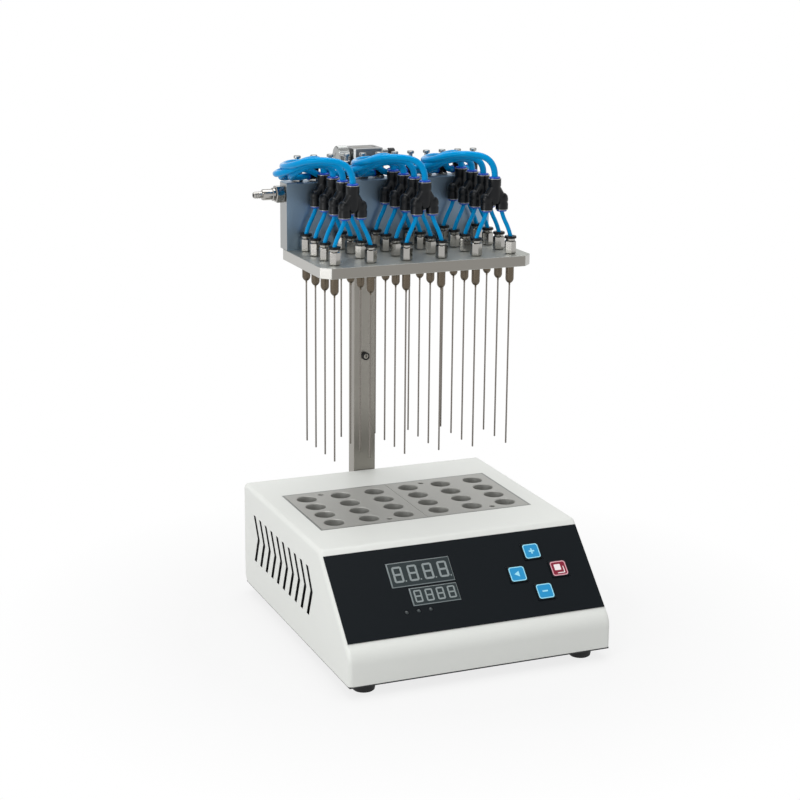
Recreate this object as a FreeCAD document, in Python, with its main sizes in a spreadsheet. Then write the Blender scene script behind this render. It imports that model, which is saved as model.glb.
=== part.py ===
import FreeCAD, Part
import math
import os

import Sketcher
from FreeCAD import Placement, Rotation, Vector

# Nitrogen sample evaporator: a heated base with two lift-out dry blocks, and a gas
# head of twenty-four needles that slides on a column behind it.  Every shape is drawn
# in the housing frame (x = 0 at the middle of the housing, y = 0 at its front lip and
# z = 0 at its underside) and its Placement moves it to the shared frame.

# ------------------------------------------------------------------ driving sizes, mm
SIZES = {
    "side_shift": 2.5, "half_depth": 157.0, "foot_height": 10.0,
    "body_width": 260.0, "body_depth": 294.0, "body_height": 104.2,
    "lip_height": 29.0, "slope_angle": 44.0, "wall": 1.5, "gap": 0.3,
    "lip_bend": 18.0, "top_bend": 6.0, "side_bend": 4.5, "skirt_radius": 8.0,
    "skirt_lift": 1.8, "pan_rim": 12.0, "pan_notch": 9.0, "rear_inset": 1.0,
    "vent_pitch": 17.1, "vent_width": 4.0, "vent_count": 10.0, "vent_start": 94.4,
    "vent_low": 33.0, "vent_middle": 58.3, "vent_high": 79.3,
    "vent_bend": 10.3, "vent_top_bend": 11.9,
    "panel_start": 13.5, "panel_length": 87.2, "panel_width": 255.0, "film": 1.0,
    "upper_display_x": -40.65, "upper_display_s": 59.6,
    "upper_display_width": 62.3, "upper_display_height": 24.8,
    "lower_display_x": -33.3, "lower_display_s": 36.15,
    "lower_display_width": 47.0, "lower_display_height": 17.9,
    "display_depth": 8.0, "display_sink": 0.5,
    "led_diameter": 3.6, "led_pitch": 11.7, "led_x": -53.3, "led_s": 22.0,
    "key_width": 18.0, "key_length": 17.0, "key_height": 3.4, "key_rise": 1.2,
    "recess_centre": 184.4, "block_width": 106.8, "block_depth": 110.0,
    "block_height": 65.0, "block_gap": 0.4, "plate_height": 10.0,
    "well_diameter": 19.5, "well_depth": 58.0,
    "well_pitch_x": 35.39, "well_pitch_y": 25.37, "block_hole": 5.5,
    "block_hole_y": 46.6,
    "foot_top": 24.0, "foot_tip": 20.0, "foot_x": 108.5, "foot_y": 19.5,
    "column_width": 23.4, "column_thickness": 15.0, "column_start": 4.0,
    "column_top": 434.5, "bracket_thickness": 2.0, "slide_gap": 0.2,
    "carriage_width": 31.0, "carriage_front": 286.0, "carriage_rear": 314.0,
    "carriage_low": 316.0, "carriage_high": 436.0, "stop_height": 225.0,
    "tray_width": 211.0, "tray_front": 130.5, "head_rear": 249.0,
    "tray_low": 340.0, "tray_high": 350.0, "tray_chamfer": 8.5,
    "chamber_width": 210.0, "chamber_front": 230.0, "chamber_top": 414.0,
    "manifold_bore": 9.0, "port_bore": 3.0,
    "needle_tip": 164.0, "needle_diameter": 1.6, "hub_low": 320.0,
    "collar_low": 364.5, "collar_high": 367.0,
    "y_pitch": 70.8, "y_leg": 8.7, "y_low": 392.0, "y_high": 422.0, "ring": 1.5,
    "valve_pitch": 16.55, "valve_y": 239.5, "valve_axis": 419.5, "valve_turn": 30.0,
    "knob_top": 438.4, "tube": 6.0, "branch": 4.0,
    "lock_y": 300.0, "lock_z": 427.0, "plunger_z": 431.0,
    "inlet_y": 239.0, "inlet_z": 403.0, "power_x": -78.0, "power_z": 50.0,
}
S = {word: float(value) for word, value in SIZES.items()}
ROWS = 4
COLUMNS = 6
VALVES = 12

doc = FreeCAD.newDocument("evaporator")
sheet = doc.addObject("Spreadsheet::Sheet", "Sizes")
for number, (word, amount) in enumerate(SIZES.items(), start=1):
    sheet.set("A%d" % number, word)
    sheet.set("B%d" % number, str(amount))
    sheet.setAlias("B%d" % number, word)
doc.recompute()


def expand(formula):
    """Turn the bare size words of a formula into references to the sheet."""
    out = []
    token = ""
    for letter in formula + " ":
        if letter.isalnum() or letter == "_":
            token += letter
            continue
        out.append("Sizes." + token if token in SIZES else token)
        out.append(letter)
        token = ""
    return "".join(out).strip()


def amount(formula):
    """The number a formula gives."""
    got = sheet.evalExpression(expand(formula))
    return float(getattr(got, "Value", got))


def bind(item, **formulas):
    """Bind properties to formulas; two underscores stand for a dot."""
    for name, formula in formulas.items():
        item.setExpression(name.replace("__", "."), expand(formula))


PARTS = []
CORNERS = {}


def seat(item, name, x="0", y="0", z="0"):
    """Name a finished sub-part and place it by formulas in the housing frame."""
    item.Label = name
    u, v, w = CORNERS.get(item.Name, ("0", "0", "0"))
    bind(item,
         Placement__Base__x="side_shift + (%s) + (%s)" % (x, u),
         Placement__Base__y="(%s) + (%s) - half_depth" % (y, v),
         Placement__Base__z="(%s) + (%s) + foot_height" % (z, w))
    PARTS.append(item)
    return item


def seat_on_slope(item, name):
    """Place a sub-part drawn in the slope's own frame: x across, y up the slope."""
    item.Label = name
    u, v, w = CORNERS.get(item.Name, ("0", "0", "0"))
    item.Placement = Placement(Vector(), Rotation(Vector(1, 0, 0), S["slope_angle"]))
    run = "(panel_start + %s)" % v
    bind(item,
         Placement__Rotation__Angle="slope_angle",
         Placement__Base__x="side_shift + (%s)" % u,
         Placement__Base__y="%s * cos(slope_angle) - (%s) * sin(slope_angle) - half_depth"
         % (run, w),
         Placement__Base__z="lip_height + %s * sin(slope_angle) + (%s) * cos(slope_angle)"
         " + foot_height" % (run, w))
    PARTS.append(item)
    return item


def box(x, y, z, length, width, height):
    """A box primitive; its corner and its three sizes are formulas."""
    item = doc.addObject("Part::Box", "Box")
    CORNERS[item.Name] = (x, y, z)
    bind(item, Length=length, Width=width, Height=height,
         Placement__Base__x=x, Placement__Base__y=y, Placement__Base__z=z)
    return item


def middle_box(y, z, length, width, height):
    """A box centred on the middle plane of the machine."""
    return box("-(%s) / 2" % length, y, z, length, width, height)


def cylinder(x, y, z, diameter, height, axis=None):
    """A cylinder primitive, along z unless another axis is given."""
    item = doc.addObject("Part::Cylinder", "Cylinder")
    if axis:
        item.Placement = Placement(Vector(), Rotation(Vector(0, 0, 1), axis))
    bind(item, Radius="(%s) / 2" % diameter, Height=height,
         Placement__Base__x=x, Placement__Base__y=y, Placement__Base__z=z)
    return item


def fuse(*items):
    item = doc.addObject("Part::MultiFuse", "Fuse")
    item.Shapes = list(items)
    item.Refine = True
    return item


def cut(base, *tools):
    item = doc.addObject("Part::Cut", "Cut")
    item.Base = base
    item.Tool = tools[0] if len(tools) == 1 else fuse(*tools)
    return item


def computed(shapes, label="Shape"):
    """A feature holding shapes worked out from the sheet's sizes."""
    item = doc.addObject("Part::Feature", label)
    item.Shape = Part.makeCompound(shapes)
    return item


def sketch(body, name, plane, points, offset=None, tilt=None):
    """A closed outline whose corners are all bound to formulas."""
    item = body.newObject("Sketcher::SketchObject", name)
    origin = [part for part in body.Origin.OriginFeatures if part.Role == plane]
    item.AttachmentSupport = [(origin[0], "")]
    item.MapMode = "FlatFace"
    if tilt:
        turn = Rotation(Vector(1, 0, 0), amount(tilt))
        item.AttachmentOffset = Placement(Vector(), turn)
        bind(item, AttachmentOffset__Rotation__Angle=tilt)
    if offset:
        bind(item, AttachmentOffset__Base__x=offset[0],
             AttachmentOffset__Base__y=offset[1], AttachmentOffset__Base__z=offset[2])
    corners = [Vector(amount(u), amount(v), 0) for u, v in points]
    count = len(corners)
    for index in range(count):
        line = Part.LineSegment(corners[index], corners[(index + 1) % count])
        item.addGeometry(line, False)
    for index in range(count):
        after = (index + 1) % count
        item.addConstraint(Sketcher.Constraint("Coincident", index, 2, after, 1))
    for index, (u, v) in enumerate(points):
        for kind, formula in (("DistanceX", u), ("DistanceY", v)):
            rule = Sketcher.Constraint(kind, -1, 1, index, 1, amount(formula))
            bind(item, **{"Constraints[%d]" % item.addConstraint(rule): formula})
    return item


def rectangle(x, y, width, height):
    """The four corners of a rectangle from its centre and its sizes."""
    left, right = "%s - (%s) / 2" % (x, width), "%s + (%s) / 2" % (x, width)
    low, high = "%s - (%s) / 2" % (y, height), "%s + (%s) / 2" % (y, height)
    return [(left, low), (right, low), (right, high), (left, high)]


def feature(body, kind, profile, **formulas):
    """A pad, pocket or groove made from a sketch."""
    item = body.newObject("PartDesign::" + kind, kind)
    item.Profile = profile
    bind(item, **formulas)
    return item


def chosen_edges(shape, test):
    return ["Edge%d" % (index + 1) for index, edge in enumerate(shape.Edges) if test(edge)]


def dress(body, kind, test, formula):
    """A fillet or a chamfer on the edges of the body that pass the test."""
    doc.recompute()
    base = body.Tip
    item = body.newObject("PartDesign::" + kind, kind)
    item.Base = (base, chosen_edges(base.Shape, test))
    bind(item, **{"Radius" if kind == "Fillet" else "Size": formula})
    body.Tip = item
    doc.recompute()
    return item


def along(edge, axis):
    """True when an edge is straight and lies along the axis, 0 for x to 2 for z."""
    if edge.Curve.TypeId != "Part::GeomLine":
        return False
    return abs(abs(edge.tangentAt(edge.FirstParameter)[axis]) - 1) < 1e-6


def near(edge, x=None, y=None, z=None):
    """True when the middle of an edge lies at the given coordinates."""
    centre = edge.CenterOfMass
    pairs = zip((x, y, z), centre)
    return all(want is None or abs(want - have) < 0.05 for want, have in pairs)


def regular(sides, radius, level=0.0):
    """The corners of a regular polygon round the z axis."""
    angles = [2 * math.pi * (index + 0.5) / sides for index in range(sides)]
    return [Vector(radius * math.cos(a), radius * math.sin(a), level) for a in angles]


def flat_sided(lower, upper):
    """A solid with flat sides between two outlines of as many corners."""
    count = len(lower)
    rings = [lower[::-1], upper]
    for index in range(count):
        after = (index + 1) % count
        rings.append([lower[index], lower[after], upper[after], upper[index]])
    faces = [Part.Face(Part.makePolygon(ring + ring[:1])) for ring in rings]
    return Part.Solid(Part.Shell(faces))


def polygon(sides, radius, height, at, axis=Vector(0, 0, 1), tip=None):
    """A straight or tapered prism with a regular section, from its base centre."""
    solid = flat_sided(regular(sides, radius),
                       regular(sides, radius if tip is None else tip, height))
    solid.Placement = Placement(at, Rotation(Vector(0, 0, 1), axis))
    return solid


def hexagon(across_flats, height, at, axis=Vector(0, 0, 1)):
    return polygon(6, across_flats / math.sqrt(3), height, at, axis)


def merged(*solids):
    return solids[0].multiFuse(list(solids[1:])).removeSplitter()


# ------------------------------------------------------------------ housing cover
slope_back = "(body_height - lip_height) / tan(slope_angle)"
cover = doc.addObject("PartDesign::Body", "housing_cover")
outline = sketch(cover, "CoverSide", "YZ_Plane", [
    ("0", "skirt_lift"), ("0", "lip_height"), (slope_back, "body_height"),
    ("body_depth", "body_height"), ("body_depth", "skirt_lift")])
pad = feature(cover, "Pad", outline, Length="body_width")
pad.Midplane = True
wall = S["wall"]
half = S["body_width"] / 2
depth = S["body_depth"]
lip_inside = "lip_height - wall * tan(45 - slope_angle / 2)"
knee_inside = slope_back + " + wall * tan(slope_angle / 2)"
hollow = sketch(cover, "CoverInside", "YZ_Plane", [
    ("wall", "skirt_lift - 1"), ("wall", lip_inside),
    (knee_inside, "body_height - wall"),
    ("body_depth + 1", "body_height - wall"), ("body_depth + 1", "skirt_lift - 1")])
inside = feature(cover, "Pocket", hollow, Length="body_width - 2 * wall")
inside.Midplane = True
lip_z, knee_y = amount(lip_inside), amount(knee_inside)
roof = S["body_height"] - wall
dress(cover, "Fillet", lambda e: along(e, 0) and near(e, y=wall, z=lip_z), "lip_bend - wall")
dress(cover, "Fillet", lambda e: along(e, 0) and near(e, y=knee_y, z=roof), "top_bend - wall")
dress(cover, "Fillet",
      lambda e: abs(abs(e.CenterOfMass.x) - half + wall) < 0.01
      and abs(e.CenterOfMass.z - S["skirt_lift"]) > 0.05
      and abs(e.CenterOfMass.y - depth) > 0.05,
      "side_bend - wall")
lip_z, top_z, knee_y = amount("lip_height"), amount("body_height"), amount(slope_back)
dress(cover, "Fillet", lambda e: along(e, 0) and near(e, y=0, z=lip_z), "lip_bend")
dress(cover, "Fillet", lambda e: along(e, 0) and near(e, y=knee_y, z=top_z), "top_bend")
dress(cover, "Fillet",
      lambda e: near(e, x=half) and not near(e, z=S["skirt_lift"]) and not near(e, y=depth)
      or near(e, x=-half) and not near(e, z=S["skirt_lift"]) and not near(e, y=depth),
      "side_bend")
dress(cover, "Fillet",
      lambda e: along(e, 0) and near(e, y=depth, z=S["skirt_lift"]), "skirt_radius")
recess_width = "2 * block_width + block_gap + 2 * gap"
recess_depth = "block_depth + 2 * gap"
opening = sketch(cover, "RecessOpening", "XY_Plane",
                 rectangle("0", "recess_centre", recess_width + " + 2 * wall",
                           recess_depth + " + 2 * wall"), ("0", "0", "body_height + 1"))
feature(cover, "Pocket", opening, Length="wall + 2")
slope_origin = ("0", "panel_start * cos(slope_angle) - sin(slope_angle)",
                "lip_height + panel_start * sin(slope_angle) + cos(slope_angle)")
WINDOWS = [
    ("upper_display_x", "upper_display_s", "upper_display_width", "upper_display_height"),
    ("lower_display_x", "lower_display_s", "lower_display_width", "lower_display_height"),
]
KEYS = [("key_up", 73.3, 65.0), ("key_left", 52.0, 43.9),
        ("key_set", 94.8, 43.9), ("key_down", 73.4, 23.2)]
for x, s, width, height in WINDOWS:
    window = sketch(cover, "Window", "XY_Plane",
                    rectangle(x, s, width + " + 2 * gap", height + " + 2 * gap"),
                    slope_origin, "slope_angle")
    feature(cover, "Pocket", window, Length="wall + 2")
for name, x, s in KEYS:
    window = sketch(cover, "KeyWindow", "XY_Plane",
                    rectangle(str(x), str(s), "key_width + 2 * gap", "key_length + 2 * gap"),
                    slope_origin, "slope_angle")
    feature(cover, "Pocket", window, Length="wall + 2")
leds = sketch(cover, "LedWindow", "XY_Plane",
              rectangle("led_x", "led_s", "2 * led_pitch + 8", "8"),
              slope_origin, "slope_angle")
feature(cover, "Pocket", leds, Length="wall + 2")
chevron = [("vent_start + vent_top_bend", "vent_high"), ("vent_start", "vent_middle"),
           ("vent_start + vent_bend", "vent_low"),
           ("vent_start + vent_bend + vent_width", "vent_low"),
           ("vent_start + vent_width", "vent_middle"),
           ("vent_start + vent_top_bend + vent_width", "vent_high")]
vent_sketch = sketch(cover, "Vent", "YZ_Plane", chevron)
vent = feature(cover, "Pocket", vent_sketch)
vent.Type = "ThroughAll"
vent.Midplane = True
doc.recompute()
before_vents = cover.Shape.Volume
vents = cover.newObject("PartDesign::LinearPattern", "Vents")
vents.Originals = [vent]
vents.Direction = (vent_sketch, ["H_Axis"])
bind(vents, Length="vent_pitch * (vent_count - 1)", Occurrences="vent_count")
cover.Tip = vents
doc.recompute()
print("vents cut", round(before_vents - cover.Shape.Volume, 1), "mm3")
seat(cover, "housing_cover")

# ------------------------------------------------------------------ pan, rear, feet
pan_width = "body_width - 2 * wall - 2 * gap"
pan_y = "wall + gap"
rear_face = "body_depth - rear_inset"
pan_depth = "body_depth - rear_inset - wall - (%s)" % pan_y
notches = [box(x, y, "wall", "pan_notch", "pan_notch", "pan_rim")
           for x in ("-(%s) / 2" % pan_width, "(%s) / 2 - pan_notch" % pan_width)
           for y in (pan_y, "%s + %s - pan_notch" % (pan_y, pan_depth))]
seat(fuse(middle_box("1", "0", "body_width - 2", "body_depth - 2", "wall"),
          cut(middle_box(pan_y, "0", pan_width, pan_depth, "pan_rim"),
              middle_box(pan_y + " + wall", "0", pan_width + " - 2 * wall",
                         pan_depth + " - 2 * wall", "pan_rim + 1"), *notches)),
     "bottom_pan")
bezel_width, bezel_height = 30.0, 62.0
rear_sheet = fuse(
    middle_box(rear_face + " - wall", "skirt_lift", pan_width, "wall",
               "body_height - wall - gap - skirt_lift"),
    middle_box(rear_face + " - 12", "body_height - 2 * wall - gap",
               pan_width + " - 2 * side_bend - 4", "12", "wall"))
seat(cut(rear_sheet,
         box("power_x - 14", rear_face + " - 5", "power_z - 28", "28", "10", "56")),
     "rear_panel")

FEET = [(side * S["foot_x"], y) for side in (-1, 1)
        for y in (S["foot_y"], S["body_depth"] - S["foot_y"])]
foot_shapes = []
foot_screw_shapes = []
for x, y in FEET:
    base = Vector(x, y, -S["foot_height"])
    cone = polygon(20, S["foot_tip"] / 2, S["foot_height"], base, tip=S["foot_top"] / 2)
    foot_shapes.append(cone.cut(polygon(10, 5.0, 4.0, base)))
    foot_screw_shapes.append(polygon(8, 4.0, 2.6, base + Vector(0, 0, 1.4)))
seat(computed(foot_shapes), "feet")
seat(computed(foot_screw_shapes), "foot_screws")

# ------------------------------------------------------------------ control panel
panel_tools = []
for x, s, width, height in WINDOWS:
    panel_tools.append(box("%s - (%s) / 2 - gap" % (x, width),
                           "%s - (%s) / 2 - gap" % (s, height),
                           "-1", width + " + 2 * gap", height + " + 2 * gap", "film + 2"))
for name, x, s in KEYS:
    panel_tools.append(box("%s - key_width / 2 - gap" % x, "%s - key_length / 2 - gap" % s,
                           "-1", "key_width + 2 * gap", "key_length + 2 * gap", "film + 2"))
for step in ("- led_pitch", "", "+ led_pitch"):
    panel_tools.append(cylinder("led_x " + step, "led_s", "-1", "led_diameter + 2 * gap",
                                "film + 2"))
overlay = cut(box("-panel_width / 2", "0", "0", "panel_width", "panel_length", "film"),
              *panel_tools)
seat_on_slope(overlay, "panel_overlay")
for name, (x, s, width, height) in zip(("display_upper", "display_lower"), WINDOWS):
    seat_on_slope(box("%s - (%s) / 2" % (x, width), "%s - (%s) / 2" % (s, height),
                      "film - display_sink - display_depth", width, height,
                      "display_depth"), name)
board_level = "film - display_sink - display_depth - wall"
lamp_shapes = []
board_z = amount(board_level) + S["wall"]
for step in (-1, 0, 1):
    centre = Vector(S["led_x"] + step * S["led_pitch"], S["led_s"], board_z)
    lamp_shapes.append(polygon(12, S["led_diameter"] / 2, S["film"] + 0.3 - board_z, centre))
seat_on_slope(computed(lamp_shapes), "indicator_leds")
board_top = board_level + " + wall"
standoffs = [box(x, s, board_top, "6", "6", "0 - wall - (%s)" % board_top)
             for x in ("-80", "102") for s in ("12", "68")]
seat_on_slope(fuse(box("-80", "12", board_level, "188", "62", "wall"), *standoffs),
              "display_board")

# ------------------------------------------------------------------ heated recess
floor_z = "body_height - block_height"
plate_z = floor_z + " - plate_height"
liner_z = plate_z + " - wall"
liner = cut(
    fuse(middle_box("recess_centre - (%s) / 2 - wall" % recess_depth, liner_z,
                    recess_width + " + 2 * wall", recess_depth + " + 2 * wall",
                    "block_height + plate_height + wall"),
         middle_box("recess_centre - (%s) / 2 - wall - 9" % recess_depth,
                    "body_height - 2 * wall", recess_width + " + 2 * wall + 18",
                    recess_depth + " + 2 * wall + 18", "wall")),
    middle_box("recess_centre - (%s) / 2" % recess_depth, plate_z, recess_width,
               recess_depth, "block_height + plate_height + 1"))
seat(liner, "heater_well")
seat(middle_box("recess_centre - (%s) / 2" % recess_depth, plate_z, recess_width,
                recess_depth, "plate_height"), "heating_plate")
board = middle_box("18", "8", "200", "85", "wall")
posts = [box(x, y, "wall", "6", "6", "8 - wall")
         for x in ("-98", "92") for y in ("20", "94")]
seat(fuse(board, *posts), "main_board")
seat(fuse(box("20", "250", "wall", "62", "32", "44"),
          box("29", "248", "wall + 8", "44", "36", "28")), "transformer")

# ------------------------------------------------------------------ power entry
px, pz = S["power_x"], S["power_z"]
rear = S["body_depth"] - S["rear_inset"]
cavity = Part.makeBox(24.0, 16.2, 16.0, Vector(px - 12.0, rear + 3.0 - 16.2, pz - 24.0))
cavity = cavity.makeChamfer(4.0, [e for e in cavity.Edges
                                  if along(e, 1) and e.CenterOfMass.z > pz - 9])
entry = merged(
    Part.makeBox(bezel_width, 3.0, bezel_height,
                 Vector(px - bezel_width / 2, rear, pz - bezel_height / 2)),
    Part.makeBox(27.0, 24.0, 55.0, Vector(px - 13.5, rear - 24.0, pz - 27.5)))
rocker_room = Part.makeBox(14.0, 13.0, 21.0, Vector(px - 7.0, rear + 3.0 - 13.0, pz + 3.0))
seat(computed([entry.cut(cavity).cut(rocker_room)]), "power_inlet")
pins = [Part.makeBox(4.0, 11.0, 2.0, Vector(px - 2.0, rear - 13.2, pz - 14.0))]
for side in (-7.0, 7.0):
    pins.append(Part.makeBox(2.0, 11.0, 4.0, Vector(px + side - 1.0, rear - 13.2, pz - 19.5)))
seat(computed(pins), "inlet_pins")
rocker = Part.makeCylinder(8.6, 13.4, Vector(px - 6.7, rear - 3.2, pz + 13.5), Vector(1, 0, 0))
rocker = rocker.common(Part.makeBox(13.4, 30.0, 17.2,
                                    Vector(px - 6.7, rear - 3.2, pz + 4.9)))
seat(computed([rocker]), "power_rocker")

# ------------------------------------------------------------------ column
column_front = rear_face + " + bracket_thickness"
column_solid = middle_box(column_front, "column_start", "column_width",
                          "column_thickness", "column_top - column_start")
seat(column_solid, "column")
plate = box("-35", rear_face, "12", "70", "bracket_thickness", "80")
seat(plate, "column_bracket")
screws = [polygon(12, 4.5, 3.0, Vector(x, rear + S["bracket_thickness"], z), Vector(0, 1, 0))
          for x in (-26.0, 26.0) for z in (24.0, 80.0)]
seat(computed(screws), "column_screws")
stop_head = polygon(16, 4.0, 4.0, Vector(0, rear + S["bracket_thickness"], S["stop_height"]),
                    Vector(0, -1, 0))
socket = hexagon(4.0, 2.2, Vector(0, rear + S["bracket_thickness"] - 4.0, S["stop_height"]),
                 Vector(0, 1, 0))
seat(computed([stop_head.cut(socket)]), "stop_screw")

# ------------------------------------------------------------------ carriage
bore_width = "column_width + 2 * slide_gap"
bore_depth = "column_thickness + 2 * slide_gap"
carriage = doc.addObject("PartDesign::Body", "carriage_block")
sleeve = sketch(carriage, "SleeveOutline", "XY_Plane",
                rectangle("0", "(carriage_front + carriage_rear) / 2", "carriage_width",
                          "carriage_rear - carriage_front"), ("0", "0", "carriage_low"))
feature(carriage, "Pad", sleeve, Length="carriage_high - carriage_low")
dress(carriage, "Chamfer", lambda e: along(e, 2), "2")
bore = sketch(carriage, "SleeveBore", "XY_Plane",
              rectangle("0", column_front + " + column_thickness / 2",
                        bore_width, bore_depth), ("0", "0", "carriage_low"))
hole = feature(carriage, "Pocket", bore)
hole.Type = "ThroughAll"
hole.Reversed = True
slit = sketch(carriage, "ClampSlit", "XY_Plane",
              rectangle("-carriage_width / 2", "lock_y + 7", "carriage_width / 2", "1.2"),
              ("0", "0", "carriage_low"))
gap_cut = feature(carriage, "Pocket", slit)
gap_cut.Type = "ThroughAll"
gap_cut.Reversed = True
doc.recompute()
carriage.Tip = gap_cut
thread = sketch(carriage, "LockHole", "YZ_Plane", rectangle("lock_y", "lock_z", "6", "6"),
                ("0", "0", "-carriage_width / 2 - 1"))
lock_hole = feature(carriage, "Pocket", thread, Length="5.2")
lock_hole.Reversed = True
seat(carriage, "carriage_block")
front_plate = "chamber_top - 4 - tray_high - 6"
seat(fuse(middle_box("head_rear", "tray_high + 6", "64", "5", front_plate),
          middle_box("head_rear + 5", "tray_high + 6", "16", "27", front_plate),
          middle_box("carriage_front - 5", "tray_high + 6", "26", "5", front_plate)),
     "head_bracket")
screws = [polygon(12, 4.3, 4.0, Vector(x, S["head_rear"] + 5.0, z), Vector(0, 1, 0))
          for x in (-22.0, 22.0) for z in (366.0, 400.0)]
seat(computed(screws), "bracket_screws")

lock_start = -S["carriage_width"] / 2 - 0.4
left = Vector(-1, 0, 0)
knob = merged(
    polygon(24, 11.0, 11.5, Vector(lock_start - 2.0, S["lock_y"], S["lock_z"]), left),
    polygon(12, 5.5, 3.0, Vector(lock_start, S["lock_y"], S["lock_z"]), left),
    Part.makeCylinder(2.6, 5.0, Vector(lock_start + 3.0, S["lock_y"], S["lock_z"]), left))
seat(computed([knob]), "height_lock_knob")
right_face = S["carriage_width"] / 2
pin = polygon(12, 2.0, 10.0, Vector(right_face, S["lock_y"], S["plunger_z"]), Vector(1, 0, 0))
cap = polygon(12, 3.0, 7.0, Vector(right_face + 10.0, S["lock_y"], S["plunger_z"]),
              Vector(1, 0, 0))
seat(computed([pin]), "side_pin")
seat(computed([cap]), "side_pin_cap")

# ------------------------------------------------------------------ gas head
columns_x = [(index - (COLUMNS - 1) / 2) * S["well_pitch_x"] for index in range(COLUMNS)]
rows_y = [S["recess_centre"] + (index - (ROWS - 1) / 2) * S["well_pitch_y"]
          for index in range(ROWS)]
stations = [(x, y) for x in columns_x for y in rows_y]
tray_body = doc.addObject("PartDesign::Body", "TrayBody")
tray_sketch = sketch(tray_body, "TrayOutline", "XY_Plane",
                     rectangle("0", "(tray_front + head_rear) / 2", "tray_width",
                               "head_rear - tray_front"), ("0", "0", "tray_low"))
feature(tray_body, "Pad", tray_sketch, Length="tray_high - tray_low")
dress(tray_body, "Chamfer", lambda e: along(e, 2), "tray_chamfer")
gas_ways = computed([polygon(4, 1.4, 12.0, Vector(x, y, S["tray_low"] - 1))
                     for x, y in stations])
seat(cut(tray_body, gas_ways), "gas_tray")

valves_x = [(index - (VALVES - 1) / 2) * S["valve_pitch"] for index in range(VALVES)]
chamber = doc.addObject("PartDesign::Body", "ChamberBody")
chamber_sketch = sketch(chamber, "ChamberOutline", "XY_Plane",
                        rectangle("0", "(chamber_front + head_rear) / 2", "chamber_width",
                                  "head_rear - chamber_front"), ("0", "0", "tray_high"))
feature(chamber, "Pad", chamber_sketch, Length="chamber_top - tray_high")
dress(chamber, "Chamfer", lambda e: near(e, z=S["chamber_top"]), "0.8")
manifold = polygon(8, S["manifold_bore"] / 2, S["chamber_width"] - 8.0,
                   Vector(-S["chamber_width"] / 2 - 1, S["inlet_y"], S["inlet_z"]),
                   Vector(1, 0, 0))
ports = [polygon(4, S["port_bore"] / 2, S["chamber_top"] - S["inlet_z"] + 1,
                 Vector(x, S["valve_y"], S["inlet_z"])) for x in valves_x]
seat(cut(chamber, computed([merged(manifold, *ports)])), "gas_chamber")
inlet_start = Vector(-S["chamber_width"] / 2, S["inlet_y"], S["inlet_z"])
inlet = merged(
    hexagon(15.0, 9.0, inlet_start, left),
    polygon(12, 5.2, 22.0, inlet_start, left),
    Part.makeCylinder(3.3, 30.0, inlet_start, left))
passage = polygon(8, 1.9, 32.0, inlet_start + Vector(1, 0, 0), left)
seat(computed([inlet.cut(passage)]), "gas_inlet")

fittings = []
collars = []
hubs = []
needles = []
for x, y in stations:
    fittings.append(hexagon(8.8, S["collar_low"] - S["tray_high"], Vector(x, y, S["tray_high"])))
    collars.append(polygon(8, 5.2, S["collar_high"] - S["collar_low"],
                           Vector(x, y, S["collar_low"])))
    low = S["hub_low"]
    hubs.append(merged(hexagon(8.2, S["tray_low"] - low - 12.0, Vector(x, y, low + 12.0)),
                       polygon(6, 1.7, 12.0, Vector(x, y, low), tip=4.0)))
    needles.append(polygon(6, S["needle_diameter"] / 2, low - S["needle_tip"],
                           Vector(x, y, S["needle_tip"])))
seat(computed(fittings), "needle_fittings")
seat(computed(collars), "fitting_collars")
seat(computed(hubs), "needle_hubs")
seat(computed(needles), "needles")

# ------------------------------------------------------------------ Y splitters
splitters = []
rings = []
branches = []
clusters_x = [-S["y_pitch"], 0.0, S["y_pitch"]]
leg = S["y_leg"]
for centre in clusters_x:
    for y in rows_y:
        body = [polygon(8, 6.1, S["y_high"] - 404.0, Vector(centre, y, 404.0)),
                Part.makeBox(2 * leg, 11.0, 12.0, Vector(centre - leg, y - 5.5, 399.0))]
        body += [polygon(8, 5.9, 408.0 - S["y_low"], Vector(centre + side * leg, y, S["y_low"]))
                 for side in (-1, 1)]
        splitters.append(merged(*body))
        rings.append(polygon(6, 4.8, S["ring"], Vector(centre, y, S["y_high"])))
        for side in (-1, 1):
            low = S["y_low"] - S["ring"]
            rings.append(polygon(6, 4.4, S["ring"], Vector(centre + side * leg, y, low)))
            foot = Vector(centre + side * S["well_pitch_x"] / 2, y, S["collar_high"])
            head = Vector(centre + side * leg, y, low)
            section = regular(6, S["branch"] / 2)
            branches.append(flat_sided([foot + corner for corner in section],
                                       [head + corner for corner in section]))
seat(computed(splitters), "y_splitters")
seat(computed(rings), "release_rings")
seat(computed(branches), "branch_tubes")

# ------------------------------------------------------------------ flow valves
turn = math.radians(S["valve_turn"])
outlet = Vector(-math.cos(turn), -math.sin(turn), 0)
bases = []
bodies = []
for index, x in enumerate(valves_x):
    foot = Vector(x, S["valve_y"], S["chamber_top"])
    bases.append(hexagon(9.6, 2.4, foot))
    axis = Vector(x, S["valve_y"], S["valve_axis"])
    bodies.append(merged(
        polygon(8, 4.8, 12.0, foot + Vector(0, 0, 2.4)),
        polygon(6, 3.9, 9.4, axis, outlet),
        hexagon(6.4, 3.0, foot + Vector(0, 0, 14.4))).cut(bases[-1]))
    knob_low = S["chamber_top"] + 17.7
    stem = Part.makeCylinder(1.9, S["knob_top"] - knob_low, Vector(x, S["valve_y"], knob_low))
    disc = polygon(10, 3.4, 2.6, Vector(x, S["valve_y"], S["knob_top"] - 2.6))
    seat(computed([merged(stem, disc)]), "valve_knob_%02d" % (index + 1))
seat(computed(bases), "valve_bases")
seat(computed(bodies), "valve_bodies")

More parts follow.
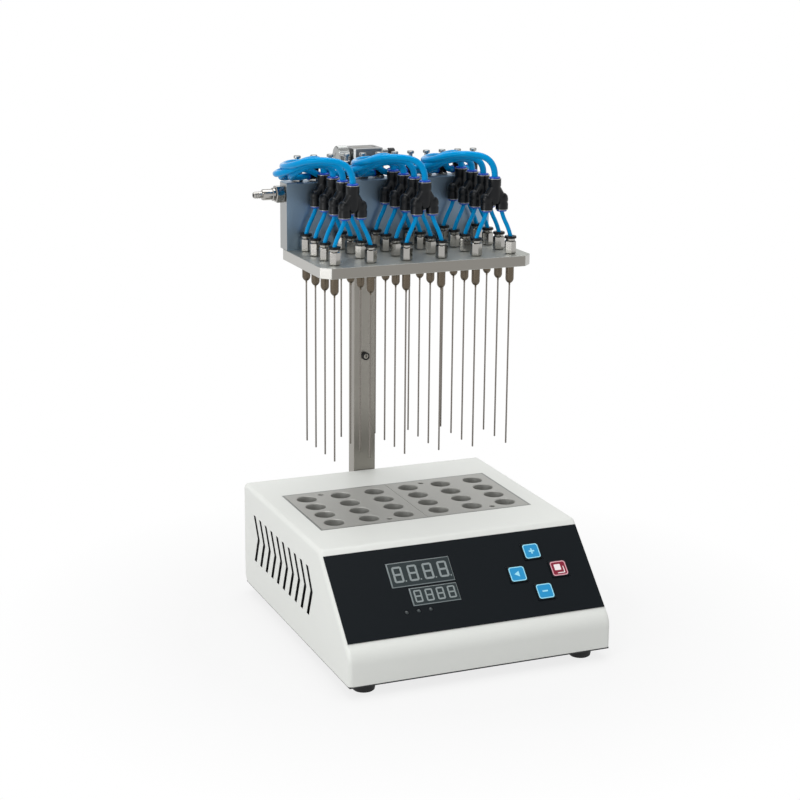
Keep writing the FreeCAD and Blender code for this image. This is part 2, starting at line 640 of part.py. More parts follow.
# Supply tubes: the corners after the valve outlet, from the middle of the cluster's
# splitters, for the valves from left to right; the leftmost valve feeds the rear row.
ROUTES = [
    [(-44.0, 213.0, 424.0), (-24.0, 207.0, 440.0)],
    [(-36.0, 207.0, 423.5), (-25.0, 190.0, 438.0)],
    [(-14.0, 229.8, 427.5), (-36.0, 225.0, 431.0), (-51.0, 211.0, 429.0),
     (-47.0, 190.0, 431.0), (-25.0, 174.0, 443.0)],
    [(1.0, 231.0, 430.5), (-28.0, 229.5, 437.5), (-48.0, 216.0, 437.5),
     (-54.0, 186.0, 436.0), (-28.0, 158.0, 445.0)],
]
LEADS = [13.0, 16.0, 6.0, 6.0]
ARC_STEP = 20.0
TURN_IN = [439.0, 437.0, 441.0, 443.0]


def tube_points(index):
    """The route of one supply tube, from its valve to its splitter."""
    cluster, place = divmod(index, ROWS)
    centre = clusters_x[cluster]
    row = rows_y[ROWS - 1 - place]
    start = Vector(valves_x[index], S["valve_y"], S["valve_axis"]) + outlet * 9.4
    points = [start, start + outlet * LEADS[place]]
    points += [Vector(centre + x, y, z) for x, y, z in ROUTES[place]]
    points.append(Vector(centre, row, TURN_IN[place]))
    points.append(Vector(centre, row, S["y_high"] + S["ring"]))
    return points


def route_wire(points):
    """Straight runs joined by tangent arcs, with the tightest arc radius."""
    pieces = []
    radii = []
    last = points[0]
    for before, corner, after in zip(points, points[1:], points[2:]):
        arrive, leave = corner - before, after - corner
        back = 0.45 * min(arrive.Length, leave.Length)
        arrive.normalize()
        leave.normalize()
        half_turn = arrive.getAngle(leave) / 2
        radius = back / math.tan(half_turn)
        enter, out = corner - arrive * back, corner + leave * back
        inward = (leave - arrive).normalize()
        middle = corner + inward * (radius / math.cos(half_turn) - radius)
        pieces.append(Part.LineSegment(last, enter).toShape())
        pieces.append(Part.Arc(enter, middle, out).toShape())
        radii.append(radius)
        last = out
    pieces.append(Part.LineSegment(last, points[-1]).toShape())
    return Part.Wire(pieces), min(radii)


def bent_tube(wire, diameter, sides):
    """A tube with flat sides along a wire of runs and arcs, a few steps to each arc."""
    first = wire.Edges[0]
    turned = Placement(first.valueAt(first.FirstParameter),
                       Rotation(Vector(0, 0, 1), first.tangentAt(first.FirstParameter)))
    rings = [[turned.multVec(corner) for corner in regular(sides, diameter / 2)]]
    for edge in wire.Edges:
        if edge.Curve.TypeId == "Part::GeomCircle":
            hinge, centre = edge.Curve.Axis, edge.Curve.Center
            sweep = edge.LastParameter - edge.FirstParameter
            steps = math.ceil(math.degrees(sweep) / ARC_STEP)
            turn = Rotation(hinge, math.degrees(sweep) / steps)
            for _ in range(steps):
                rings.append([centre + turn.multVec(spot - centre) for spot in rings[-1]])
        else:
            shift = edge.valueAt(edge.LastParameter) - edge.valueAt(edge.FirstParameter)
            rings.append([spot + shift for spot in rings[-1]])
    outlines = [rings[0][::-1], rings[-1]]
    for ring, following in zip(rings, rings[1:]):
        for index in range(sides):
            after = (index + 1) % sides
            outlines.append([ring[index], ring[after], following[after], following[index]])
    faces = [Part.Face(Part.makePolygon(outline + outline[:1])) for outline in outlines]
    return Part.Solid(Part.Shell(faces))


tubes = []
for index in range(VALVES):
    wire, tightest = route_wire(tube_points(index))
    solid = bent_tube(wire, S["tube"], 6)
    expected = wire.Length * 1.5 * math.sqrt(3) * (S["tube"] / 2) ** 2
    print("supply tube %d: length %.1f, tightest bend %.1f, volume %.3f of section x length"
          % (index + 1, wire.Length, tightest, solid.Volume / expected))
    tubes.append(solid)
seat(computed(tubes), "supply_tubes")

# ------------------------------------------------------------------ dry blocks
def sink_hole(body, name, sides, diameter, depth, x, y):
    """A round hole from the top of a block, with flat sides of the true size."""
    item = body.newObject("PartDesign::SubtractivePrism", name)
    origin = [part for part in body.Origin.OriginFeatures if part.Role == "XY_Plane"]
    item.AttachmentSupport = [(origin[0], "")]
    item.MapMode = "FlatFace"
    item.Polygon = sides
    bind(item, Circumradius="%s / 2 / cos(180 / %d)" % (diameter, sides),
         Height=depth + " + 0.5", AttachmentOffset__Base__x=x, AttachmentOffset__Base__y=y,
         AttachmentOffset__Base__z="block_height - (%s)" % depth)
    return item


for name, side in (("block_left", "-"), ("block_right", "")):
    block = doc.addObject("PartDesign::Body", "BlockBody")
    foot = sketch(block, "BlockOutline", "XY_Plane",
                  rectangle("0", "0", "block_width", "block_depth"))
    feature(block, "Pad", foot, Length="block_height")
    dress(block, "Chamfer", lambda e: near(e, z=S["block_height"]), "0.6")
    well = sink_hole(block, "Well", 20, "well_diameter", "well_depth",
                     "-well_pitch_x", "-1.5 * well_pitch_y")
    doc.recompute()
    grid = block.newObject("PartDesign::MultiTransform", "Wells")
    grid.Originals = [well]
    steps = []
    for axis, pitch, count in (("X_Axis", "well_pitch_x", 3), ("Y_Axis", "well_pitch_y", 4)):
        step = doc.addObject("PartDesign::LinearPattern", "Step")
        block.addObject(step)
        line = [part for part in block.Origin.OriginFeatures if part.Role == axis]
        step.Direction = (line[0], [""])
        bind(step, Length="%s * %d" % (pitch, count - 1))
        step.Occurrences = count
        steps.append(step)
    grid.Transformations = steps
    block.Tip = grid
    sink_hole(block, "SensorHole", 12, "block_hole", "40", "-well_pitch_x / 2", "block_hole_y")
    sink_hole(block, "LiftHole", 12, "block_hole", "20", "well_pitch_x / 2", "-block_hole_y")
    doc.recompute()
    print(name, "faces", len(block.Shape.Faces), "volume", round(block.Shape.Volume))
    seat(block, name, side + "(block_width + block_gap) / 2", "recess_centre", floor_z)

# ------------------------------------------------------------------ keys
for name, x, s in KEYS:
    seat_on_slope(box("%s - key_width / 2" % x, "%s - key_length / 2" % s,
                      "film + key_rise - key_height", "key_width", "key_length",
                      "key_height"), name)

doc.recompute()
for item in doc.Objects:
    if "Invalid" in item.State or "Error" in item.State:
        raise RuntimeError("%s (%s) did not rebuild" % (item.Label, item.Name))
os.makedirs("parts", exist_ok=True)
for item in PARTS:
    shape = item.Shape
    if shape.isNull() or not shape.isValid() or not shape.Solids:
        raise RuntimeError(item.Label + " has no valid shape")
    shape.exportStep("parts/%s.step" % item.Label)
print(len(PARTS), "sub-parts")
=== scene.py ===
import math

import bmesh
import bpy
from mathutils import Matrix, Vector


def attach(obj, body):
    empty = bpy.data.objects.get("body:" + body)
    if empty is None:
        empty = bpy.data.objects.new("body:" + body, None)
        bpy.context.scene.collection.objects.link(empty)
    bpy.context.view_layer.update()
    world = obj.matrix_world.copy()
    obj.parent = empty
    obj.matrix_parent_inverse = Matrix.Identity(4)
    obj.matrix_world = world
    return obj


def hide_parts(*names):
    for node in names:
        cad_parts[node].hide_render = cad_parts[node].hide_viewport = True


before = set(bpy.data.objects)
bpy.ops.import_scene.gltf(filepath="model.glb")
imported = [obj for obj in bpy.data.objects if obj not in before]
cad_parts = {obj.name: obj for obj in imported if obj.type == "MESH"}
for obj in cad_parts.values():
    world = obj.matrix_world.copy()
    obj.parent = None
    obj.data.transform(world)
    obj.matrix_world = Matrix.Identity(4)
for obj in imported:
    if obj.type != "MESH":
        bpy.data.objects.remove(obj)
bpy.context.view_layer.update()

bl_info = {
    "name": "Nitrogen Sample Evaporator",
    "version": (1, 0, 0),
    "blender": (4, 5, 0),
    "location": "View3D > Sidebar > Evaporator",
    "description": "Dresses the heated base and the sliding gas head of a nitrogen evaporator",
    "category": "Object",
}

# ---- sizes, millimetres
# The housing frame has x = 0 at the middle of the housing, y = 0 at its front lip and
# z = 0 at its underside. HOME is where that point lies in the shared frame, in metres.
HOME = Vector((0.0025, -0.157, 0.010))
UP, REAR, FRONT = Vector((0, 0, 1)), Vector((0, 1, 0)), Vector((0, -1, 0))
LEFT, RIGHT = Vector((-1, 0, 0)), Vector((1, 0, 0))
SLOPE = math.radians(44.0)
LIP_HEIGHT = 29.0
FILM_START = 13.5  # of the panel's film, up the slope from the lip
FEET_X, FEET_Y = (-108.5, 108.5), (19.5, 274.5)
VENTS, VENT_START, VENT_PITCH = 10, 94.4, 17.1
VENT_LINE = [(12.2, 79.8), (0.0, 58.3), (10.5, 32.5)]  # of one chevron, as y and z
VENT_AHEAD, VENT_BEHIND = 1.6, 4.6  # of its edges from that line
VENT_CUT_X = 134.0  # just outside the housing's sides
PITCH_X, PITCH_Y = 35.39, 25.37  # of the wells and of the needles above them
WELLS_Y = 184.4
COLUMNS_X = [(index - 2.5) * PITCH_X for index in range(6)]
ROWS_Y = [WELLS_Y + (index - 1.5) * PITCH_Y for index in range(4)]
BLOCK_X, BLOCK_FOOT = 53.6, 39.2
BLOCK = (106.8, 110.0, 65.0)
SENSOR_Y = 46.6  # of a block's sensor holes from its middle
COLUMN_FACE, STOP_HEIGHT = 295.0, 225.0
LOCK_Y, LOCK_HEIGHT, PIN_HEIGHT = 300.0, 427.0, 431.0
KNOB_RADIUS, KNURLS = 11.0, 72
TRAY_UNDER, TRAY_TOP, CHAMBER_TOP = 340.0, 350.0, 414.0
CLUSTERS_X = [-70.8, 0.0, 70.8]
LEG_OUT = 7.8  # of a splitter's legs from its stem
LEG_END, STEM_END = 392.9, 421.2
VALVES_X = [(index - 5.5) * 16.55 for index in range(12)]
VALVE_Y, VALVE_AXIS = 239.5, 419.5
OUTLET = Vector((-math.cos(math.radians(30)), -math.sin(math.radians(30)), 0.0))
OUTLET_LENGTH = 9.4


def place(x, y, z):
    """A point of the housing frame, given in millimetres, in the shared frame."""
    return HOME + Vector((x, y, z)) / 1000


def slope_matrix():
    """The frame of the sloped front: x across, y up the slope, z out of it."""
    foot = place(0, FILM_START * math.cos(SLOPE), LIP_HEIGHT + FILM_START * math.sin(SLOPE))
    return Matrix.Translation(foot) @ Matrix.Rotation(SLOPE, 4, "X")


# ---- colour and nodes
def colour(code):
    """Linear colour from an sRGB hex value."""
    parts = [int(code[index:index + 2], 16) / 255 for index in (1, 3, 5)]
    return [v / 12.92 if v <= 0.04045 else ((v + 0.055) / 1.055) ** 2.4 for v in parts] + [1.0]


def node(tree, kind, settings=None, links=None):
    """Add a shader node, set its sockets or properties and link sockets to it."""
    item = tree.nodes.new("ShaderNode" + kind)
    for name, value in (settings or {}).items():
        if isinstance(name, int) or name in item.inputs:
            item.inputs[name].default_value = value
        else:
            setattr(item, name, value)
    for name, source in (links or {}).items():
        tree.links.new(source, item.inputs[name])
    return item


MADE = {}


def material(name, base, rough, metallic=0.0, ior=None, mottle=0.06, grain=1.2,
             bump=0.0, stretch=(1.0, 1.0, 1.0), spread=0.08, gleam="#FFFFFF"):
    """A finish whose colour and roughness vary finely; grain and relief are in mm."""
    finish = bpy.data.materials.new(name)
    finish.use_nodes = True
    tree = finish.node_tree
    tree.nodes.clear()
    spot = node(tree, "TexCoord").outputs["Object"]
    scales = [1000.0 / grain * part for part in stretch]
    mapped = node(tree, "Mapping", {"Scale": scales}, {"Vector": spot})
    fine = node(tree, "TexNoise", {"Scale": 1.0, "Detail": 4.0, "Roughness": 0.6},
                {"Vector": mapped.outputs["Vector"]}).outputs["Fac"]
    cloud = node(tree, "TexNoise", {"Scale": 22.0, "Detail": 2.0}, {"Vector": spot})
    light = [min(1.0, part * (1.0 + mottle)) for part in colour(base)[:3]] + [1.0]
    dark = [part * (1.0 - mottle) for part in colour(base)[:3]] + [1.0]
    half = node(tree, "Math", {"operation": "MULTIPLY", 1: 0.5}, {0: fine})
    both = node(tree, "Math", {"operation": "MULTIPLY_ADD", 1: 0.5},
                {0: cloud.outputs["Fac"], 2: half.outputs[0]})
    tint = node(tree, "Mix", {"data_type": "RGBA", 6: dark, 7: light}, {0: both.outputs[0]})
    shine = node(tree, "MapRange", {"To Min": max(0.02, rough - spread),
                                    "To Max": min(1.0, rough + spread)}, {"Value": fine})
    settings = {"Metallic": metallic, "Specular Tint": colour(gleam)}
    if ior:
        settings["IOR"] = ior
    shader = node(tree, "BsdfPrincipled", settings,
                  {"Base Color": tint.outputs[2], "Roughness": shine.outputs["Result"]})
    if bump:
        relief = node(tree, "Bump", {"Strength": 0.6, "Distance": bump / 1000},
                      {"Height": fine})
        tree.links.new(relief.outputs["Normal"], shader.inputs["Normal"])
    node(tree, "OutputMaterial", links={"Surface": shader.outputs["BSDF"]})
    MADE[name] = finish


def metal(name, base, rough, **surface):
    """A finish of bare or plated metal."""
    material(name, base, rough, metallic=1.0, **surface)


def finishes():
    """Every finish of the machine, named for its material and its making."""
    # Powder-coated steel: a cool white with the faint orange peel of a baked coat.
    material("powder_coat_white", sizes().housing_hex, 0.4, ior=1.5, mottle=0.012,
             grain=0.9, bump=0.012, spread=0.05)
    # Pan in a dull, even near black: painted shadow, so its edge draws a dark line under the
    # cover.
    material("pan_black_painted_shadow", "#17181A", 0.55, ior=1.5, mottle=0.08, grain=0.8)
    # Walls of the punched vent slots, near black as painted shade inside the slots.
    material("vent_wall_painted_shade", "#141516", 0.8, ior=1.4, mottle=0.1, grain=0.5)
    # Printed polyester film over the keys: blue black, smooth, with little gloss.
    material("polyester_film_black", "#13181C", 0.42, ior=1.2, mottle=0.05, grain=0.5,
             bump=0.004)
    # Smoked acrylic window of an unlit display.
    material("smoked_acrylic_window", "#30383A", 0.3, ior=1.25, grain=3.0)
    # Moulded edge of the display glass, paler all round as a painted highlight.
    material("acrylic_edge_painted_highlight", "#7A8486", 0.38, ior=1.49, mottle=0.05, grain=2.0)
    # Unlit display segments, pale diffuse resin.
    material("resin_segment_grey", "#8A9394", 0.5, ior=1.5, mottle=0.03, grain=0.6)
    # Clear grey epoxy of the unlit lamps.
    material("epoxy_lamp_grey", "#3A4143", 0.3, ior=1.55, mottle=0.04, grain=0.6)
    # Silk-screened inks of the keys, under the film: flat colour with a slight gloss.
    for ink, code, rough, mottle, grain in (
            ("cyan", sizes().key_hex, 0.38, 0.05, 1.5),
            ("pale_cyan", "#9ADCEF", 0.38, 0.03, 1.0),
            ("crimson", "#84112E", 0.38, 0.06, 1.5),
            ("pale_pink", "#DDA6B0", 0.38, 0.03, 1.0),
            ("white", "#EFE4E6", 0.4, 0.02, 1.0)):
        material("screen_ink_" + ink, code, rough, ior=1.45, mottle=mottle, grain=grain)
    # Bead-blasted and anodised aluminium: warm grey with a fine grain.
    metal("anodised_aluminium_satin", "#8E8B85", 0.45, mottle=0.05, grain=0.35, bump=0.004)
    # Clear anodised sleeve, lighter where it was milled.
    metal("milled_aluminium_sleeve", "#9FA1A1", 0.33, mottle=0.05, grain=0.4, bump=0.004)
    # Corners milled after the plate was anodised: bare metal, and paler in part as a painted
    # highlight on the tray's corners and ends and on the chamber's softened edges.
    metal("milled_corner_painted_highlight", "#B6B5B1", 0.3, mottle=0.03, grain=0.4)
    # Fly-cut top of the tray: more matt than its sides, and paler as painted light from above.
    metal("fly_cut_top_painted_light", "#B7B9B4", 0.5, mottle=0.04, grain=0.8,
          stretch=(0.15, 1.0, 1.0), bump=0.01)
    # Extruded and brushed aluminium bar, the grain along the column.
    metal("brushed_aluminium_bar", "#94918A", 0.32, mottle=0.1, grain=0.3, bump=0.004,
          stretch=(1.0, 1.0, 0.02))
    # Milled heating block: light, with the fine lay of the cutter.
    metal("milled_aluminium_block", "#BFBFBB", 0.6, grain=0.4, bump=0.006,
          stretch=(0.15, 1.0, 1.0))
    # Chamber, rubbed along its length after polishing: soft reflections, and a blue cast that
    # is a painted reflection in its base colour.
    metal("chamber_painted_blue_reflection", "#8FA4B5", 0.42, mottle=0.05, grain=0.5, bump=0.003,
          stretch=(0.05, 1.0, 1.0))
    # Drawn stainless tube of the needles.
    metal("drawn_stainless_needle", "#7C7771", 0.26, grain=0.4, stretch=(1.0, 1.0, 0.05))
    # Zinc-plated steel, bright with a faint cloud.
    metal("zinc_plated_steel", "#A0A2A1", 0.3, grain=0.6, bump=0.003)
    # Nickel-plated brass fittings, warm and bright on the flats.
    metal("nickel_plated_brass", "#A6A4A0", 0.15, mottle=0.07, grain=0.5, bump=0.003)
    # Older nickel over brass on the hubs, browner and duller.
    metal("tarnished_nickel_hub", "#645B4F", 0.28, mottle=0.1, grain=0.6, bump=0.003)
    # Glass-filled nylon of the splitters: black, faintly textured.
    material("moulded_nylon_black", "#06090D", 0.32, ior=1.33, mottle=0.15, grain=0.8,
             bump=0.012)
    # Black oxide on the stop screw.
    material("black_oxide_steel", "#242425", 0.42, metallic=0.8, mottle=0.08, grain=0.5)
    # Extruded polyurethane tube: bright clear blue, so its wet gloss is blue as well.
    material("polyurethane_tube_blue", sizes().tube_hex, 0.09, ior=1.45, mottle=0.12,
             grain=6.0, spread=0.04, gleam="#58B4F0")
    # Acetal release rings, a deeper blue.
    material("acetal_ring_blue", "#1246B4", 0.3, ior=1.48, mottle=0.05, grain=1.0)
    # Moulded rubber of the feet.
    material("moulded_rubber_black", "#131314", 0.75, ior=1.5, mottle=0.12, grain=0.6,
             bump=0.02)
    # Moulded ABS of the power entry, the rocker and the pin's grip.
    material("moulded_abs_black", "#17181A", 0.45, ior=1.53, mottle=0.1, grain=0.6,
             bump=0.01)
    # Circuit board laminate under its green mask.
    material("solder_mask_green", "#1E5A37", 0.35, ior=1.55, mottle=0.12, grain=1.5)
    # Stacked and varnished steel laminations of the transformer.
    material("varnished_steel_laminate", "#3D3B39", 0.5, metallic=0.6, mottle=0.15,
             grain=0.5, stretch=(1.0, 0.1, 1.0))


# ---- mesh helpers
def mesh_object(name, bm):
    """Put a bmesh into the collection as an object, and free it."""
    mesh = bpy.data.meshes.new(name)
    bm.to_mesh(mesh)
    bm.free()
    item = bpy.data.objects.new(name, mesh)
    bpy.context.collection.objects.link(item)
    return item


def finished(name, bm, materials, body, stands_for=(), angle=35.0, bevel=0.0):
    """Turn a bmesh into a piece of the machine, riding on a body."""
    piece = mesh_object(name, bm)
    for finish in materials:
        piece.data.materials.append(MADE[finish])
    piece.data.shade_smooth()
    piece.data.set_sharp_from_angle(angle=math.radians(angle))
    if bevel:
        edge = piece.modifiers.new("Edges", "BEVEL")
        edge.width = bevel / 1000
        edge.segments = 2
        edge.limit_method = "ANGLE"
        edge.angle_limit = math.radians(angle)
        edge.harden_normals = True
    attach(piece, body)
    if stands_for:
        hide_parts(*stands_for)
    return piece


def smoothed(node_name, finish, body, bevel=0.3, cut_finish=None, cut=None,
             edge_finish=None):
    """A merged copy of a rigid CAD node with softened edges and round stretches.

    The cut test gives each face's finish by number from its normal, and the softened
    edges have the last one.
    """
    bm = bmesh.new()
    bm.from_mesh(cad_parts[node_name].data)
    bmesh.ops.remove_doubles(bm, verts=bm.verts, dist=1e-6)
    bmesh.ops.dissolve_limit(bm, angle_limit=math.radians(0.5), verts=bm.verts,
                             edges=bm.edges)
    bm.normal_update()
    for face in bm.faces:
        face.material_index = int(cut(face.normal)) if cut else 0
    names = [name for name in (finish, cut_finish, edge_finish) if name]
    piece = finished(node_name + "_finished", bm, names, body, (node_name,), bevel=bevel)
    if edge_finish:
        piece.modifiers["Edges"].material = len(names) - 1
    return piece


def united(shells, name):
    """One closed mesh from overlapping closed shells, each given as a bmesh."""
    parts = [mesh_object(name, bm) for bm in shells]
    for other in parts[1:]:
        join = parts[0].modifiers.new("Union", "BOOLEAN")
        join.operation = "UNION"
        join.solver = "EXACT"
        join.object = other
    bpy.context.view_layer.update()
    ready = parts[0].evaluated_get(bpy.context.evaluated_depsgraph_get())
    whole = bmesh.new()
    whole.from_mesh(ready.to_mesh())
    ready.to_mesh_clear()
    for part in parts:
        bpy.data.objects.remove(part)
    bmesh.ops.remove_doubles(whole, verts=whole.verts, dist=2e-6)
    return whole


def carve(piece, bm, cut_finish=None):
    """Take the closed shapes of a bmesh out of a piece; the cut walls get a finish."""
    cutter = mesh_object("cutter", bm)
    if cut_finish:
        cutter.data.materials.append(MADE[cut_finish])
    cut = piece.modifiers.new("Cut", "BOOLEAN")
    cut.object = cutter
    cut.solver = "EXACT"
    cut.material_mode = "TRANSFER"
    others = [item for item in piece.modifiers if item != cut]
    for item in others:
        item.show_viewport = False
    bpy.context.view_layer.update()
    shaped = bpy.data.meshes.new_from_object(
        piece.evaluated_get(bpy.context.evaluated_depsgraph_get()))
    for item in others:
        item.show_viewport = True
    piece.modifiers.remove(cut)
    bpy.data.objects.remove(cutter)
    piece.data = shaped
    shaped.shade_smooth()
    shaped.set_sharp_from_angle(angle=math.radians(30))


def repeated(pattern, bm, spots):
    """Put a copy of a pattern at each spot into a bmesh."""
    mesh = bpy.data.meshes.new("pattern")
    pattern.to_mesh(mesh)
    pattern.free()
    for spot in spots:
        before = set(bm.verts)
        bm.from_mesh(mesh)
        fresh = [vert for vert in bm.verts if vert not in before]
        bmesh.ops.translate(bm, vec=spot, verts=fresh)
    bpy.data.meshes.remove(mesh)


def turn_to(axis):
    """The turn that lays the z axis along another one."""
    return UP.rotation_difference(axis).to_matrix().to_4x4()


def turned(bm, profile, at, axis=UP, sides=24, slot=0):
    """Spin a profile of (radius, height) in millimetres about an axis; ends are closed."""
    before = set(bm.faces)
    verts = [bm.verts.new((radius / 1000, 0, height / 1000)) for radius, height in profile]
    edges = [bm.edges.new(pair) for pair in zip(verts, verts[1:])]
    bmesh.ops.spin(bm, geom=verts + edges, axis=UP, angle=math.tau, steps=sides,
                   use_merge=True)
    new = [face for face in bm.faces if face not in before]
    own = list({vert for face in new for vert in face.verts})
    bmesh.ops.remove_doubles(bm, verts=own, dist=1e-7)
    new = [face for face in bm.faces if face not in before]
    bmesh.ops.recalc_face_normals(bm, faces=new)
    own = list({vert for face in new for vert in face.verts})
    bmesh.ops.transform(bm, matrix=Matrix.Translation(at) @ turn_to(axis), verts=own)
    for face in new:
        face.material_index = slot
    return own


def turned_piece(name, stands_for, finish, body, profile, spots, axis=UP, sides=24):
    """Equal turned solids, one at each spot, made into one piece."""
    bm = bmesh.new()
    for spot in spots:
        turned(bm, profile, spot, axis, sides)
    finished(name, bm, [finish], body, (stands_for,))


def knurled(verts, centre, axis, radius, depth, chamfer=0.8):
    """Press every other line of a turned rim inwards, for the grip."""
    side = axis.orthogonal().normalized()
    across = axis.cross(side)
    for vert in verts:
        arm = vert.co - centre
        arm -= axis * arm.dot(axis)
        if arm.length * 1000 > radius - chamfer:
            step = round(math.atan2(arm.dot(across), arm.dot(side)) / math.tau * KNURLS)
            if step % 2:
                vert.co -= arm.normalized() * depth / 1000


def faces_round(verts):
    """Every face that meets one of some vertices."""
    return {face for vert in verts for face in vert.link_faces}


def rounded(bm, own, edges, radius, segments):
    """Bevel edges by a radius in millimetres; gives the vertices that the shape now has."""
    cut = bmesh.ops.bevel(bm, geom=edges, offset=radius / 1000, affect="EDGES",
                          segments=segments, profile=0.5, material=-1)
    return {vert for vert in own if vert.is_valid} | set(cut["verts"])


def settled(bm, own, slot, matrix):
    """Give a whole shape its finish and its place; gives its vertices."""
    own = list({vert for face in faces_round(own) for vert in face.verts})
    for face in faces_round(own):
        face.material_index = slot
    bmesh.ops.transform(bm, matrix=matrix, verts=own)
    return own


def hex_body(bm, across, low, high, at, axis=UP, chamfer=0.5, slot=0):
    """A hexagonal body whose end corners are turned off, from low to high in mm."""
    radius = across / 2000 / math.cos(math.pi / 6)
    made = bmesh.ops.create_cone(bm, cap_ends=True, segments=6, radius1=radius,
                                 radius2=radius, depth=(high - low) / 1000)["verts"]
    ends = [face for face in faces_round(made) if len(face.verts) == 6]
    own = rounded(bm, made, [edge for face in ends for edge in face.edges], chamfer, 1)
    lift = Matrix.Translation((0, 0, (low + high) / 2000))
    return settled(bm, own, slot, Matrix.Translation(at) @ turn_to(axis) @ lift)


def slab(bm, centre, size, radius, turn=None, segments=4, slot=0, edge=0.0):
    """A plate with rounded corners across its thickness; sizes in millimetres."""
    made = bmesh.ops.create_cube(bm, size=1.0)["verts"]
    bmesh.ops.scale(bm, vec=Vector(size) / 1000, verts=made)
    upright = {e for v in made for e in v.link_edges
               if abs(e.verts[0].co.z - e.verts[1].co.z) > 1e-9}
    own = rounded(bm, made, list(upright), radius, segments)
    if edge:
        top = size[2] / 2000
        rim = {e for v in own for e in v.link_edges
               if all(abs(p.co.z - top) < 1e-9 for p in e.verts)}
        own = rounded(bm, own, list(rim), edge, 2)
    shift = Matrix.Translation(Vector(centre) / 1000)
    settled(bm, own, slot, (turn or Matrix()) @ shift)


# ---- settings
def camera_axes(azimuth, elevation, roll):
    """The camera's right, up and backward directions, from angles in degrees."""
    a, e, r = (math.radians(part) for part in (azimuth, elevation, roll))
    back = Vector((math.sin(a) * math.cos(e), -math.cos(a) * math.cos(e), math.sin(e)))
    right = (-back).cross(UP).normalized()
    up = right.cross(-back)
    return (right * math.cos(r) + up * math.sin(r), up * math.cos(r) - right * math.sin(r),
            back)


def either(tree, one, other):
    """One if either of two kinds of ray is met, or else nought."""
    return node(tree, "Math", {"operation": "MAXIMUM"}, {0: one, 1: other}).outputs[0]


class MachineSettings(bpy.types.PropertyGroup):
    housing_hex: bpy.props.StringProperty(
        name="Housing", description="Powder coat of the housing", default="#DEE0DC")
    tube_hex: bpy.props.StringProperty(
        name="Tubes", description="Colour of the gas tubes", default="#008ECC")
    key_hex: bpy.props.StringProperty(
        name="Keys", description="Colour of the keys", default="#1590C8")
    tube_size: bpy.props.FloatProperty(
        name="Supply Tube", description="Outside diameter of the supply tubes",
        default=0.006, min=0.003, max=0.008, subtype="DISTANCE", unit="LENGTH")
    branch_size: bpy.props.FloatProperty(
        name="Branch Tube", description="Outside diameter of the branch tubes",
        default=0.004, min=0.002, max=0.006, subtype="DISTANCE", unit="LENGTH")


class StageSettings(bpy.types.PropertyGroup):
    azimuth: bpy.props.FloatProperty(
        name="Azimuth", description="Camera angle round the machine", default=-22.61)
    elevation: bpy.props.FloatProperty(
        name="Elevation", description="Camera angle above the bench", default=14.76)
    roll: bpy.props.FloatProperty(name="Roll", description="Camera roll", default=0.49)
    distance: bpy.props.FloatProperty(
        name="Distance", description="Camera distance from its aim", default=1.74082,
        subtype="DISTANCE", unit="LENGTH")
    lens: bpy.props.FloatProperty(
        name="Lens", description="Focal length in millimetres", default=83.14)


def sizes():
    return bpy.context.scene.machine_settings


# ---- operators
CAMERA_AIM = (-21.33, 150.0, 216.14)
# Name, place, aim and width of each light in metres, and its power in watts.
LIGHTS = (("key_light", (-1.3, -0.9, 1.7), (0, 0, 0.2), 0.6, 8.5),
          ("side_light", (-1.7, -0.65, 0.5), (0, 0, 0.25), 0.8, 7.0),
          ("fill_light", (1.6, -1.2, 1.1), (0, 0, 0.2), 1.8, 1.0),
          ("top_light", (0.1, 0.3, 2.2), (0, 0, 0.1), 1.9, 31.0))
ROOM_LIGHT, CEILING_LIGHT = 0.55, 0.25  # of the world, to matt and to mirrored rays


